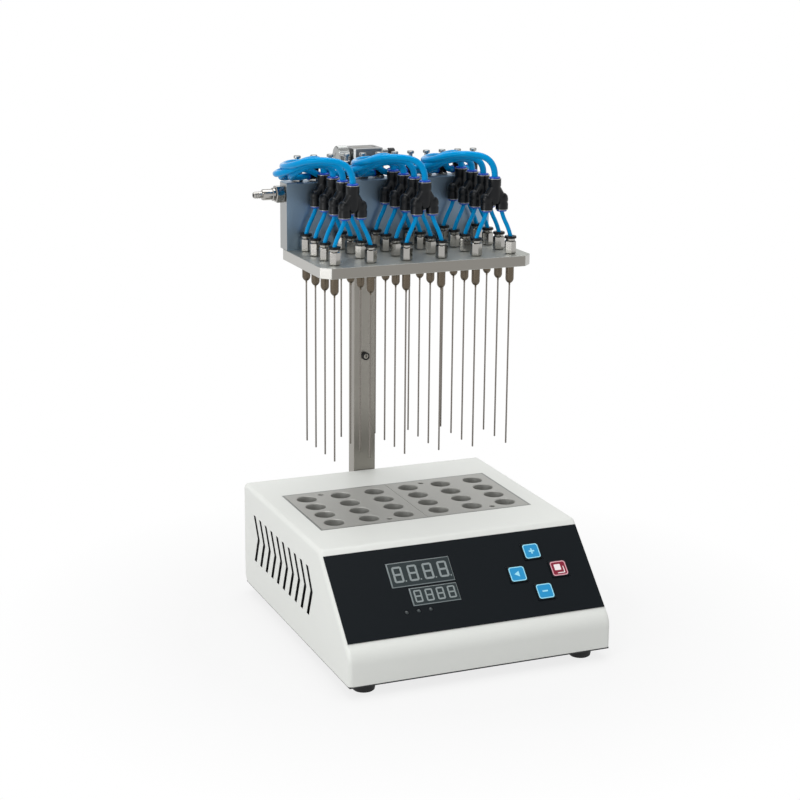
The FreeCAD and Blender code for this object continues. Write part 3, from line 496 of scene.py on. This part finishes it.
class MakeStage(bpy.types.Operator):
    """Camera, soft lights, pale floor and white backdrop"""
    bl_idname = "evaporator.stage"
    bl_label = "Stage"

    def execute(self, context):
        stage = context.scene.stage_settings
        lens = bpy.data.cameras.new("photo_camera")
        lens.sensor_width = 36.0
        lens.lens = stage.lens
        camera = bpy.data.objects.new("photo_camera", lens)
        context.collection.objects.link(camera)
        right, up, back = camera_axes(stage.azimuth, stage.elevation, stage.roll)
        spot = place(*CAMERA_AIM) + back * stage.distance
        turn = Matrix((right, up, back)).transposed().to_4x4()
        camera.matrix_world = Matrix.Translation(spot) @ turn
        lens.clip_end = 20.0
        context.scene.camera = camera
        for name, at, aim, size, power in LIGHTS:
            lamp = bpy.data.lights.new(name, "AREA")
            lamp.shape = "SQUARE"
            lamp.size = size
            lamp.energy = power
            holder = bpy.data.objects.new(name, lamp)
            context.collection.objects.link(holder)
            holder.location = at
            aim_line = Vector(aim) - Vector(at)
            holder.rotation_euler = aim_line.to_track_quat("-Z", "Y").to_euler()
        context.scene.world = bpy.data.worlds.new("studio_world")
        context.scene.world.use_nodes = True
        tree = context.scene.world.node_tree
        tree.nodes.clear()
        # Mirrored rays see the white sweep near the bench and a darker ceiling overhead.
        rays = node(tree, "LightPath").outputs
        up = node(tree, "SeparateXYZ", links={
            0: node(tree, "TexCoord").outputs["Generated"]})
        ceiling = node(tree, "MapRange", {
            "From Min": 0.1, "From Max": 0.8, "To Min": 1.0, "To Max": CEILING_LIGHT},
            {"Value": up.outputs["Z"]})
        mirrored = node(tree, "Mix", {2: ROOM_LIGHT}, {
            0: rays["Is Glossy Ray"], 3: ceiling.outputs["Result"]})
        straight = either(tree, rays["Is Camera Ray"], rays["Is Transmission Ray"])
        strength = node(tree, "Mix", {3: 1.0}, {0: straight, 2: mirrored.outputs[0]})
        glow = node(tree, "Background", {"Color": (1, 1, 1, 1)},
                    {"Strength": strength.outputs[0]})
        node(tree, "OutputWorld", links={"Surface": glow.outputs[0]})
        bm = bmesh.new()
        bmesh.ops.create_grid(bm, x_segments=1, y_segments=1, size=6.0)
        floor = mesh_object("pale_floor", bm)
        ground = bpy.data.materials.new("white_paper_sweep")
        ground.use_nodes = True
        tree = ground.node_tree
        tree.nodes.clear()
        # Further out the floor glows, but not for diffuse rays.
        matt = node(tree, "BsdfDiffuse", {"Color": (0.62, 0.62, 0.62, 1)})
        glow = node(tree, "Emission", {"Color": (1, 1, 1, 1), "Strength": 1.0})
        away = node(tree, "TexCoord").outputs["Object"]
        reach = node(tree, "VectorMath", {"operation": "LENGTH"}, {0: away})
        fade = node(tree, "MapRange", {
            "From Min": 0.22, "From Max": 0.42, "To Min": 0.8, "To Max": 1.0},
            {"Value": reach.outputs["Value"]})
        rays = node(tree, "LightPath").outputs
        seen = either(tree, rays["Is Camera Ray"], rays["Is Glossy Ray"])
        share = node(tree, "Math", {"operation": "MULTIPLY"}, {
            0: fade.outputs["Result"], 1: either(tree, seen, rays["Is Transmission Ray"])})
        both = node(tree, "MixShader", links={
            0: share.outputs[0], 1: matt.outputs[0], 2: glow.outputs[0]})
        node(tree, "OutputMaterial", links={"Surface": both.outputs[0]})
        floor.data.materials.append(ground)
        return {"FINISHED"}


# Corners of the supply routes after the valve outlet, from the middle of a cluster's
# splitters, in millimetres, for a cluster's four valves from left to right.
ROUTES = [
    [(-46.0, 213.0, 424.5), (-27.0, 206.0, 438.5)],
    [(-41.0, 207.0, 423.5), (-28.0, 190.0, 435.5)],
    [(-14.0, 229.8, 427.0), (-37.0, 226.0, 428.0), (-54.0, 212.0, 425.5),
     (-49.0, 191.0, 430.0), (-29.0, 176.0, 441.0)],
    [(1.0, 231.0, 430.0), (-27.0, 229.5, 434.5), (-46.0, 213.0, 433.0),
     (-49.0, 187.0, 435.5), (-31.0, 160.0, 445.5)],
]
LEADS = [13.0, 16.0, 6.0, 6.0]  # straight on from the outlet
TURN_IN = [437.5, 434.5, 437.0, 441.0]  # height of the last corner, over the stem
STEM_SEAT = 423.5  # where the tube ends, in the stem's ring


def supply_route(index):
    """The control points of one supply tube in the shared frame."""
    cluster, step = divmod(index, 4)
    x, y = CLUSTERS_X[cluster], ROWS_Y[3 - step]
    valve = place(VALVES_X[index], VALVE_Y, VALVE_AXIS)
    points = [valve + OUTLET * reach / 1000
              for reach in (OUTLET_LENGTH, OUTLET_LENGTH + LEADS[step])]
    points += [place(x + across, along, height) for across, along, height in ROUTES[step]]
    return points + [place(x, y, TURN_IN[step]), place(x, y, STEM_SEAT)]


def blue_tube(name, points, diameter):
    """A round tube that rides the head, on a smooth curve with given control points."""
    line = bpy.data.curves.new(name, "CURVE")
    line.dimensions = "3D"
    path = line.splines.new("NURBS")
    path.points.add(len(points) - 1)
    for spot, point in zip(path.points, points):
        spot.co = (*point, 1.0)
    path.order_u = 3
    path.use_endpoint_u = True
    line.resolution_u = 10
    line.bevel_depth = diameter / 2
    line.bevel_resolution = 5
    line.use_fill_caps = True
    line.materials.append(MADE["polyurethane_tube_blue"])
    tube = bpy.data.objects.new(name, line)
    bpy.context.collection.objects.link(tube)
    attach(tube, "carriage")
    return tube


def spline_length(tube):
    """The length of a curve's own line, measured on a copy without thickness."""
    bare = bpy.data.objects.new("bare_line", tube.data.copy())
    bare.data.bevel_depth = 0.0
    mesh = bpy.data.meshes.new_from_object(bare)
    spots = [vertex.co for vertex in mesh.vertices]
    total = sum((spots[edge.vertices[0]] - spots[edge.vertices[1]]).length
                for edge in mesh.edges)
    bpy.data.meshes.remove(mesh)
    bpy.data.curves.remove(bare.data)
    return total


class MakeSupplyTubes(bpy.types.Operator):
    """Twelve looped gas tubes from the valves to the splitters"""
    bl_idname = "evaporator.supply_tubes"
    bl_label = "Supply Tubes"

    def execute(self, context):
        for index in range(len(VALVES_X)):
            route = supply_route(index)
            tube = blue_tube("supply_tube_%02d" % (index + 1), route, sizes().tube_size)
            spline_length(tube)
        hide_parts("supply_tubes")
        return {"FINISHED"}


class MakeBranchTubes(bpy.types.Operator):
    """Two short tubes from each splitter down to its needles"""
    bl_idname = "evaporator.branch_tubes"
    bl_label = "Branch Tubes"

    def execute(self, context):
        first = None
        for x in CLUSTERS_X:
            for row, y in enumerate(ROWS_Y):
                for side in (-1, 1):
                    leg, foot = x + side * LEG_OUT, x + side * PITCH_X / 2
                    points = [place(leg, y, 391.2), place(leg + side * 1.2, y, 386.0),
                              place(foot - side * 2.0, y, 373.5), place(foot, y, 366.4)]
                    name = "branch_%d_%d_%s" % (round(x + 100), row + 1, "lr"[side > 0])
                    tube = blue_tube(name, points, sizes().branch_size)
                    first = first or tube
        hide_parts("branch_tubes")
        return {"FINISHED"}


class MakeHousing(bpy.types.Operator):
    """Sheet metal housing, pan, rear panel, feet and heated recess"""
    bl_idname = "evaporator.housing"
    bl_label = "Housing"

    def execute(self, context):
        cover = smoothed("housing_cover", "powder_coat_white", "base", 0.25)
        bm = bmesh.new()
        outline = [(y - VENT_AHEAD, z) for y, z in VENT_LINE]
        outline += [(y + VENT_BEHIND, z) for y, z in reversed(VENT_LINE)]
        for slot in range(VENTS):
            start = VENT_START + VENT_PITCH * slot
            face = bm.faces.new([bm.verts.new(place(-VENT_CUT_X, start + y, z))
                                 for y, z in outline])
            grown = bmesh.ops.extrude_face_region(bm, geom=[face])["geom"]
            bmesh.ops.translate(bm, vec=(2 * VENT_CUT_X / 1000, 0, 0),
                                verts=[v for v in grown if isinstance(v, bmesh.types.BMVert)])
        bmesh.ops.recalc_face_normals(bm, faces=bm.faces)
        # The cut walls of the vent slots are near black: painted shade inside the slots.
        carve(cover, bm, "vent_wall_painted_shade")
        for part, finish, edge in (
                # The pan's near black is painted shadow: the dark line under the cover.
                ("bottom_pan", "pan_black_painted_shadow", 0.2),
                ("rear_panel", "powder_coat_white", 0.2),
                ("heater_well", "zinc_plated_steel", 0.2),
                ("heating_plate", "milled_aluminium_block", 0.4),
                ("main_board", "solder_mask_green", 0.1),
                ("display_board", "solder_mask_green", 0.1),
                ("transformer", "varnished_steel_laminate", 0.6)):
            smoothed(part, finish, "base", edge)
        spots = [place(x, y, 0) for x in FEET_X for y in FEET_Y]
        turned_piece("rubber_feet", "feet", "moulded_rubber_black", "base",
                     [(0, -6.0), (4.6, -6.0), (5.0, -6.4), (5.2, -9.6), (5.8, -10.0),
                      (9.2, -10.0), (10.0, -9.3), (11.5, -0.8), (11.8, 0.0), (0, 0)],
                     spots, sides=48)
        turned_piece("foot_screw_heads", "foot_screws", "zinc_plated_steel", "base",
                     [(0, -8.2), (1.2, -8.2), (1.4, -8.6), (3.2, -8.6), (3.9, -7.8),
                      (3.9, -6.05), (0, -6.05)], spots)
        return {"FINISHED"}


class MakeBlocks(bpy.types.Operator):
    """Two dry blocks with round wells, turned rims and sensor holes"""
    bl_idname = "evaporator.blocks"
    bl_label = "Dry Blocks"

    def execute(self, context):
        for name, side in (("block_left", -1), ("block_right", 1)):
            middle = place(side * BLOCK_X, WELLS_Y, BLOCK_FOOT)
            top = BLOCK[2]
            bm = bmesh.new()
            slab(bm, (0, 0, top / 2), BLOCK, 0.8, Matrix.Translation(middle), segments=3,
                 edge=0.5)
            body = finished(name + "_milled", bm, ["milled_aluminium_block"],
                            name + "_group", (name,), angle=30)
            bm = bmesh.new()
            for column in (-1, 0, 1):
                for row in (-1.5, -0.5, 0.5, 1.5):
                    at = middle + Vector((column * PITCH_X, row * PITCH_Y, 0)) / 1000
                    turned(bm, [(0, 7.0), (8.2, 7.0), (9.75, 8.6), (9.75, top - 0.7),
                                (10.45, top), (10.45, top + 2), (0, top + 2)], at, sides=64)
            for hand, depth in ((-1, 40.0), (1, 20.0)):
                at = middle + Vector((hand * PITCH_X / 2, -hand * SENSOR_Y, 0)) / 1000
                turned(bm, [(0, top - depth - 1.2), (2.75, top - depth), (2.75, top - 0.4),
                            (3.15, top), (3.15, top + 2), (0, top + 2)], at, sides=32)
            carve(body, bm)
        return {"FINISHED"}


# Each segment's place, across and up in half digits, and whether it is level.
SEGMENTS = ((0, 1, True), (0, 0, True), (0, -1, True),
            (-1, 0.5, False), (1, 0.5, False), (-1, -0.5, False), (1, -0.5, False))
# Node, middle across and up the slope, width, height, height of the digits, share of the
# pitch that a digit takes, and whether it has a point.
WINDOWS = (("display_upper", -40.65, 59.6, 62.3, 24.8, 16.2, 0.64, True),
           ("display_lower", -33.3, 36.15, 47.0, 17.9, 12.2, 0.68, False))
LAMP_X, LAMP_PITCH, LAMP_UP = -53.3, 11.7, 22.0
KEYS = (("key_up", 73.3, 65.0), ("key_left", 52.0, 43.9), ("key_set", 94.8, 43.9),
        ("key_down", 73.4, 23.2))


def unlit_digits(bm, slope, x, s, width, tall, share, dotted):
    """Four dark figures of seven segments behind a window."""
    pitch = (width - 3.0) / 4
    stroke = tall * 0.115
    wide = pitch * share
    for index in range(4):
        middle = x - width / 2 + 2.2 + pitch * (index + 0.47)
        for across, up, level in SEGMENTS:
            spot = (middle + across * (wide - stroke) / 2,
                    s + 0.2 + up * (tall - stroke) / 2, 0.60)
            size = ((wide - stroke * 0.8, stroke, 0.1) if level
                    else (stroke, tall / 2 - stroke * 0.3, 0.1))
            slab(bm, spot, size, stroke * 0.42, slope, segments=3, slot=2)
        if dotted:
            spot = (middle + wide / 2 + stroke * 0.8, s + 0.2 - tall / 2 + stroke / 2, 0.60)
            slab(bm, spot, (stroke * 0.8, stroke * 0.8, 0.1), stroke * 0.38, slope,
                 segments=3, slot=2)


def key_glyph(bm, name, glyph):
    """The sign on a key: plus, minus, arrow or two pages."""
    if name in ("key_up", "key_down"):
        slab(bm, (0, 0, 0), (5.6, 1.5, 0.06), 0.3, glyph, slot=2)
    if name == "key_up":
        slab(bm, (0, 0, 0.01), (1.5, 5.6, 0.06), 0.3, glyph, slot=2)
    if name == "key_left":
        quarter = Matrix.Rotation(math.radians(90), 4, "Z")
        made = bmesh.ops.create_circle(bm, cap_ends=True, segments=3, radius=0.0034,
                                       matrix=glyph @ quarter)["verts"]
        for face in faces_round(made):
            face.material_index = 2
    if name == "key_set":
        slab(bm, (1.2, -1.6, 0), (7.6, 7.0, 0.06), 0.6, glyph, slot=2)
        slab(bm, (0.7, -1.1, 0.02), (6.8, 6.2, 0.06), 0.4, glyph)
        slab(bm, (-1.3, 1.2, 0.05), (6.4, 6.0, 0.06), 0.6, glyph, slot=2)


class MakePanel(bpy.types.Operator):
    """Film panel, display windows with unlit digits, lamps and keys"""
    bl_idname = "evaporator.panel"
    bl_label = "Control Panel"

    def execute(self, context):
        slope = slope_matrix()
        smoothed("panel_overlay", "polyester_film_black", "base", 0.15)
        for part, x, s, width, height, tall, share, dotted in WINDOWS:
            bm = bmesh.new()
            slab(bm, (x, s, -3.5), (width, height, 8.0), 0.6, slope, slot=1, edge=0.3)
            slab(bm, (x + 0.4, s, 0.53), (width - 2.0, height - 1.8, 0.12), 0.4, slope)
            unlit_digits(bm, slope, x, s, width, tall, share, dotted)
            # The window's edge is paler all round: a painted highlight.
            finished(part + "_window", bm,
                     ["smoked_acrylic_window", "acrylic_edge_painted_highlight", "resin_segment_grey"],
                     "base", (part,))
        spots = [slope @ (Vector((LAMP_X + step * LAMP_PITCH, LAMP_UP, 0)) / 1000)
                 for step in (-1, 0, 1)]
        turned_piece("indicator_lamps", "indicator_leds", "epoxy_lamp_grey", "base",
                     [(0, -7.4), (1.75, -7.4), (1.75, 0.6), (1.5, 1.05), (0.8, 1.28),
                      (0, 1.3)], spots, slope.to_3x3() @ UP)
        for name, x, s in KEYS:
            bm = bmesh.new()
            slab(bm, (x, s, 0.45), (18.0, 17.0, 3.3), 0.7, slope, slot=3, edge=0.6)
            slab(bm, (x, s, 2.10), (15.6, 14.6, 0.06), 2.4, slope, slot=1)
            slab(bm, (x, s, 2.13), (13.7, 12.7, 0.06), 1.7, slope)
            key_glyph(bm, name, slope @ Matrix.Translation(Vector((x, s, 2.17)) / 1000))
            if name == "key_set":
                inks = ["screen_ink_crimson", "screen_ink_pale_pink", "screen_ink_white"]
            else:
                inks = ["screen_ink_cyan", "screen_ink_pale_cyan", "screen_ink_pale_cyan"]
            finished(name + "_cap", bm, inks + ["polyester_film_black"], name + "_group",
                     (name,))
        return {"FINISHED"}


class MakePowerEntry(bpy.types.Operator):
    """Mains socket, its pins and the rocker at the rear"""
    bl_idname = "evaporator.power_entry"
    bl_label = "Power Entry"

    def execute(self, context):
        smoothed("power_inlet", "moulded_abs_black", "base")
        smoothed("inlet_pins", "zinc_plated_steel", "base")
        smoothed("power_rocker", "moulded_abs_black", "rocker")
        return {"FINISHED"}


class MakeColumn(bpy.types.Operator):
    """Column bar, its plate and screws, and the stop screw"""
    bl_idname = "evaporator.column"
    bl_label = "Column"

    def execute(self, context):
        smoothed("column", "brushed_aluminium_bar", "base", 0.6)
        bm = bmesh.new()
        slab(bm, (0, 302.5, 435.15), (22.6, 14.2, 1.2), 1.0, Matrix.Translation(HOME),
             edge=0.4)
        finished("column_end_plug", bm, ["brushed_aluminium_bar"], "base")
        smoothed("column_bracket", "zinc_plated_steel", "base")
        spots = [place(x, COLUMN_FACE, z) for x in (-26.0, 26.0) for z in (24.0, 80.0)]
        turned_piece("column_screw_heads", "column_screws", "zinc_plated_steel", "base",
                     [(0, 1.4), (2.0, 1.4), (2.0, 3.0), (3.6, 3.0), (4.4, 2.3), (4.5, 0.05),
                      (0, 0.05)], spots, REAR, 32)
        bm = bmesh.new()
        spot = place(0, COLUMN_FACE, STOP_HEIGHT)
        turned(bm, [(2.5, 3.2), (2.6, 4.0), (3.6, 4.0), (4.0, 3.6), (4.0, 0.05), (2.5, 0.05),
                    (2.5, 3.2)], spot, FRONT, 40)
        turned(bm, [(0, 1.9), (1.0, 1.9), (1.0, 3.3), (1.3, 3.5), (2.48, 3.5), (2.48, 0.05),
                    (0, 0.05)], spot, FRONT, 40, slot=1)
        finished("stop_screw_head", bm, ["black_oxide_steel", "brushed_aluminium_bar"],
                 "base", ("stop_screw",))
        return {"FINISHED"}


class MakeCarriage(bpy.types.Operator):
    """Carriage sleeve, head bracket, lock knob and side pin"""
    bl_idname = "evaporator.carriage"
    bl_label = "Carriage"

    def execute(self, context):
        smoothed("carriage_block", "milled_aluminium_sleeve", "carriage", 0.4)
        smoothed("head_bracket", "anodised_aluminium_satin", "carriage", 0.5)
        spots = [place(x, 254.0, z) for x in (-22.0, 22.0) for z in (366.0, 400.0)]
        turned_piece("bracket_screw_heads", "bracket_screws", "zinc_plated_steel", "carriage",
                     [(0, 1.8), (2.0, 1.8), (2.0, 4.0), (3.8, 4.0), (4.3, 3.5), (4.3, 0.05),
                      (0, 0.05)], spots, REAR, 32)
        bm = bmesh.new()
        spot = place(-15.9, LOCK_Y, LOCK_HEIGHT)
        knob = turned(bm, [(0, -3.0), (2.6, -3.0), (2.6, 0.0), (5.5, 0.0), (5.5, 2.0),
                           (10.4, 2.0), (KNOB_RADIUS, 2.7), (KNOB_RADIUS, 12.6),
                           (10.2, 13.4), (4.5, 13.4), (4.2, 12.9), (0, 12.9)], spot, LEFT,
                      KNURLS)
        knurled(knob, spot, LEFT, KNOB_RADIUS, 0.45)
        finished("lock_knob_turned", bm, ["zinc_plated_steel"], "lock_knob",
                 ("height_lock_knob",))
        turned_piece("side_pin_turned", "side_pin", "zinc_plated_steel", "carriage",
                     [(0, 0.05), (2.0, 0.05), (2.0, 10.0), (0, 10.0)],
                     [place(15.5, LOCK_Y, PIN_HEIGHT)], RIGHT)
        turned_piece("side_pin_grip", "side_pin_cap", "moulded_abs_black", "carriage",
                     [(0, 0.05), (2.4, 0.05), (3.0, 0.6), (3.0, 6.2), (2.3, 7.0), (0, 7.0)],
                     [place(25.5, LOCK_Y, PIN_HEIGHT)], RIGHT)
        return {"FINISHED"}


class MakeGasHead(bpy.types.Operator):
    """Gas chamber, tray, inlet connector, needle fittings and needles"""
    bl_idname = "evaporator.gas_head"
    bl_label = "Gas Head"

    def execute(self, context):
        # The tray's chamfers and ends are paler bare metal, in part a painted highlight.
        smoothed("gas_tray", "anodised_aluminium_satin", "carriage", 0.4,
                 cut_finish="milled_corner_painted_highlight",
                 # The tray's top faces and softened edges take the pale top finish: painted
                 # light from above.
                 cut=lambda normal: 2 if normal.z > 0.9 else abs(normal.x) > 0.5,
                 edge_finish="fly_cut_top_painted_light")
        # The chamber's blue cast is a painted reflection.
        # The chamber's softened edges take the pale corner finish as a painted highlight.
        smoothed("gas_chamber", "chamber_painted_blue_reflection", "carriage", 0.9,
                 cut_finish="milled_aluminium_sleeve", cut=lambda normal: abs(normal.x) > 0.9,
                 edge_finish="milled_corner_painted_highlight")
        at = place(-105.0, 239.0, 403.0)
        bm = bmesh.new()
        hex_body(bm, 15.0, 0.05, 9.0, at, LEFT, 0.9)
        turned(bm, [(1.9, 9.0), (5.6, 9.0), (6.2, 9.6), (6.2, 11.4), (5.2, 12.0),
                    (5.2, 20.6), (4.8, 21.4), (3.2, 21.8), (3.2, 23.4), (3.3, 24.0),
                    (3.0, 25.6), (3.3, 26.0), (3.0, 27.6), (3.3, 28.0), (2.5, 30.0),
                    (1.9, 30.0), (1.9, 9.0)], at, LEFT, 40)
        finished("gas_connector", bm, ["nickel_plated_brass"], "carriage", ("gas_inlet",))
        fittings, collars, hubs, needles = (bmesh.new() for _ in range(4))
        for column, x in enumerate(COLUMNS_X):
            for row, y in enumerate(ROWS_Y):
                foot, tray = place(x, y, TRAY_TOP), place(x, y, TRAY_UNDER)
                body = hex_body(fittings, 9.8, 0.05, 12.6, foot, chamfer=0.9)
                # Each hexagon stopped at its own angle when tightened.
                tightened = math.radians(-8.0 + 17.0 * math.sin(7.0 * column + 3.1 * row))
                bmesh.ops.rotate(fittings, verts=body, cent=foot,
                                 matrix=Matrix.Rotation(tightened, 3, "Z"))
                turned(fittings, [(0, 12.6), (4.3, 12.6), (4.5, 12.9), (4.5, 14.4),
                                  (4.3, 14.55), (0, 14.55)], foot, sides=20)
                turned(collars, [(2.2, 14.6), (5.3, 14.6), (5.7, 14.9), (5.7, 16.3),
                                 (5.2, 17.0), (2.9, 17.0), (2.2, 16.2), (2.2, 14.6)], foot)
                turned(hubs, [(0, -0.05), (3.95, -0.05), (3.95, -14.2), (3.7, -15.4),
                              (3.1, -16.6), (2.2, -17.6), (1.3, -18.2), (0.9, -18.4),
                              (0.9, -20.0), (0, -20.0)], tray, sides=16)
                turned(needles, [(0, -20.0), (0.8, -20.0), (0.8, -175.6), (0.68, -176.0),
                                 (0.45, -176.0), (0.45, -172.0), (0, -172.0)], tray, sides=10)
        for name, bm, finish, part in (
                ("needle_fitting_bodies", fittings, "nickel_plated_brass", "needle_fittings"),
                ("needle_fitting_collars", collars, "moulded_nylon_black", "fitting_collars"),
                ("needle_hub_cones", hubs, "tarnished_nickel_hub", "needle_hubs"),
                ("needle_tubes", needles, "drawn_stainless_needle", "needles")):
            finished(name, bm, [finish], "carriage", (part,))
        return {"FINISHED"}


class MakeSplitters(bpy.types.Operator):
    """Y splitters with ribbed legs and their blue release rings"""
    bl_idname = "evaporator.splitters"
    bl_label = "Splitters"

    def execute(self, context):
        stem, saddle = bmesh.new(), bmesh.new()
        middle = Vector()
        turned(stem, [(0, 398.6), (5.0, 398.6), (5.9, 400.4), (6.1, 404.0), (6.1, 409.8),
                      (5.7, 411.2), (5.7, 414.4), (6.1, 415.0), (6.1, 420.9),
                      (5.6, STEM_END), (0, STEM_END)], middle, sides=28)
        slab(saddle, (0, 0, 404.4), (2 * LEG_OUT, 9.2, 8.4), 2.6, segments=3, edge=1.6)
        shells = [stem, saddle]
        mouths = [(middle, STEM_END, 1)]
        for side in (-1, 1):
            arm, leg = bmesh.new(), bmesh.new()
            lean = Vector((side * LEG_OUT, 0, -13.0)).normalized()
            turned(arm, [(0, -1.0), (4.0, -1.0), (5.2, 1.0), (5.3, 11.5), (4.6, 13.6),
                         (2.6, 14.8), (0, 15.2)], Vector((0, 0, 0.4135)), lean, 28)
            at = Vector((side * LEG_OUT / 1000, 0, 0))
            turned(leg, [(0, LEG_END), (5.6, LEG_END), (5.9, 393.2), (5.9, 398.2),
                         (5.5, 399.0), (5.5, 400.2), (5.9, 401.0), (5.8, 403.4),
                         (5.1, 405.8), (3.6, 407.4), (1.8, 408.1), (0, 408.3)], at, sides=28)
            shells += [arm, leg]
            mouths.append((at, LEG_END, -1))
        whole = united(shells, "splitter")
        bands, rings = bmesh.new(), bmesh.new()
        for spot, low, up in mouths:
            wide, tube = (5.9, 3.05) if up > 0 else (5.5, 2.05)
            turned(bands, [(tube, low), (wide, low), (wide + 0.2, low + up * 0.2),
                           (wide + 0.2, low + up * 0.6), (wide - 0.3, low + up * 0.8),
                           (tube, low + up * 0.8), (tube, low)], spot, sides=28)
            turned(rings, [(tube, low + up * 0.8), (wide - 1.0, low + up * 0.8),
                           (wide - 0.7, low + up * 1.1), (wide - 0.8, low + up * 1.9),
                           (wide - 1.5, low + up * 2.3), (tube, low + up * 2.3),
                           (tube, low + up * 0.8)], spot, sides=28)
        bodies = bmesh.new()
        spots = [place(x, y, 0) for x in CLUSTERS_X for y in ROWS_Y]
        repeated(whole, bodies, spots)
        count = len(bodies.faces)
        repeated(bands, bodies, spots)
        bodies.faces.ensure_lookup_table()
        for face in bodies.faces[count:]:
            face.material_index = 1
        all_rings = bmesh.new()
        repeated(rings, all_rings, spots)
        finished("splitter_bodies", bodies, ["moulded_nylon_black", "zinc_plated_steel"],
                 "carriage", ("y_splitters",))
        finished("splitter_release_rings", all_rings, ["acetal_ring_blue"], "carriage",
                 ("release_rings",))
        return {"FINISHED"}


class MakeValves(bpy.types.Operator):
    """Twelve flow valves with bases, elbow bodies and turning knobs"""
    bl_idname = "evaporator.valves"
    bl_label = "Valves"

    def execute(self, context):
        bases, bodies = bmesh.new(), bmesh.new()
        for index, x in enumerate(VALVES_X):
            foot, axis = place(x, VALVE_Y, CHAMBER_TOP), place(x, VALVE_Y, VALVE_AXIS)
            hex_body(bases, 9.6, 0.05, 2.4, foot, chamfer=0.35)
            turned(bodies, [(0, 2.4), (4.4, 2.4), (4.8, 2.8), (4.8, 13.6), (4.2, 14.4),
                            (0, 14.4)], foot)
            turned(bodies, [(0, 0), (3.9, 0), (3.9, 8.0), (3.6, 8.4), (0, 8.4)], axis, OUTLET)
            turned(bodies, [(3.05, 8.4), (3.3, 8.4), (3.8, 8.8), (3.6, OUTLET_LENGTH),
                            (3.05, OUTLET_LENGTH), (3.05, 8.4)], axis, OUTLET, slot=2)
            hex_body(bodies, 6.4, 14.4, 17.4, foot, chamfer=0.4, slot=1)
            bm = bmesh.new()
            turned(bm, [(0, 17.7), (1.9, 17.7), (1.9, 21.6), (3.1, 21.8), (3.4, 22.2),
                        (3.4, 24.0), (3.0, 24.4), (0.9, 24.4), (0.6, 24.1), (0, 24.1)], foot,
                   sides=28)
            slab(bm, (0, 0, 24.2), (5.4, 0.7, 0.4), 0.2, Matrix.Translation(foot), 2)
            finished("valve_knob_turned_%02d" % (index + 1), bm, ["zinc_plated_steel"],
                     "valve_%02d" % (index + 1), ("valve_knob_%02d" % (index + 1),))
        finished("valve_hex_bases", bases, ["nickel_plated_brass"], "carriage",
                 ("valve_bases",))
        finished("valve_elbow_bodies", bodies,
                 ["moulded_nylon_black", "nickel_plated_brass", "acetal_ring_blue"],
                 "carriage", ("valve_bodies",))
        return {"FINISHED"}


OPERATORS = (MakeStage, MakeSupplyTubes, MakeBranchTubes, MakeHousing, MakeBlocks, MakePanel,
             MakePowerEntry, MakeColumn, MakeCarriage, MakeGasHead, MakeSplitters, MakeValves)


class EvaporatorPanel(bpy.types.Panel):
    """Sizes, colours and steps of the evaporator"""
    bl_idname = "VIEW3D_PT_evaporator"
    bl_label = "Evaporator"
    bl_space_type = "VIEW_3D"
    bl_region_type = "UI"
    bl_category = "Evaporator"

    def draw(self, context):
        column = self.layout.column()
        for group in (context.scene.machine_settings, context.scene.stage_settings):
            for name in group.bl_rna.properties.keys():
                if name not in ("rna_type", "name"):
                    column.prop(group, name)
        for step in OPERATORS:
            column.operator(step.bl_idname)


CLASSES = (MachineSettings, StageSettings) + OPERATORS + (EvaporatorPanel,)


def register():
    for item in CLASSES:
        bpy.utils.register_class(item)
    bpy.types.Scene.machine_settings = bpy.props.PointerProperty(type=MachineSettings)
    bpy.types.Scene.stage_settings = bpy.props.PointerProperty(type=StageSettings)


def unregister():
    del bpy.types.Scene.stage_settings
    del bpy.types.Scene.machine_settings
    for item in reversed(CLASSES):
        bpy.utils.unregister_class(item)


def main():
    register()
    bpy.context.scene.view_settings.view_transform = "Standard"
    finishes()
    for step in OPERATORS:
        getattr(bpy.ops.evaporator, step.bl_idname.split(".")[1])()


if __name__ == "__main__":
    main()
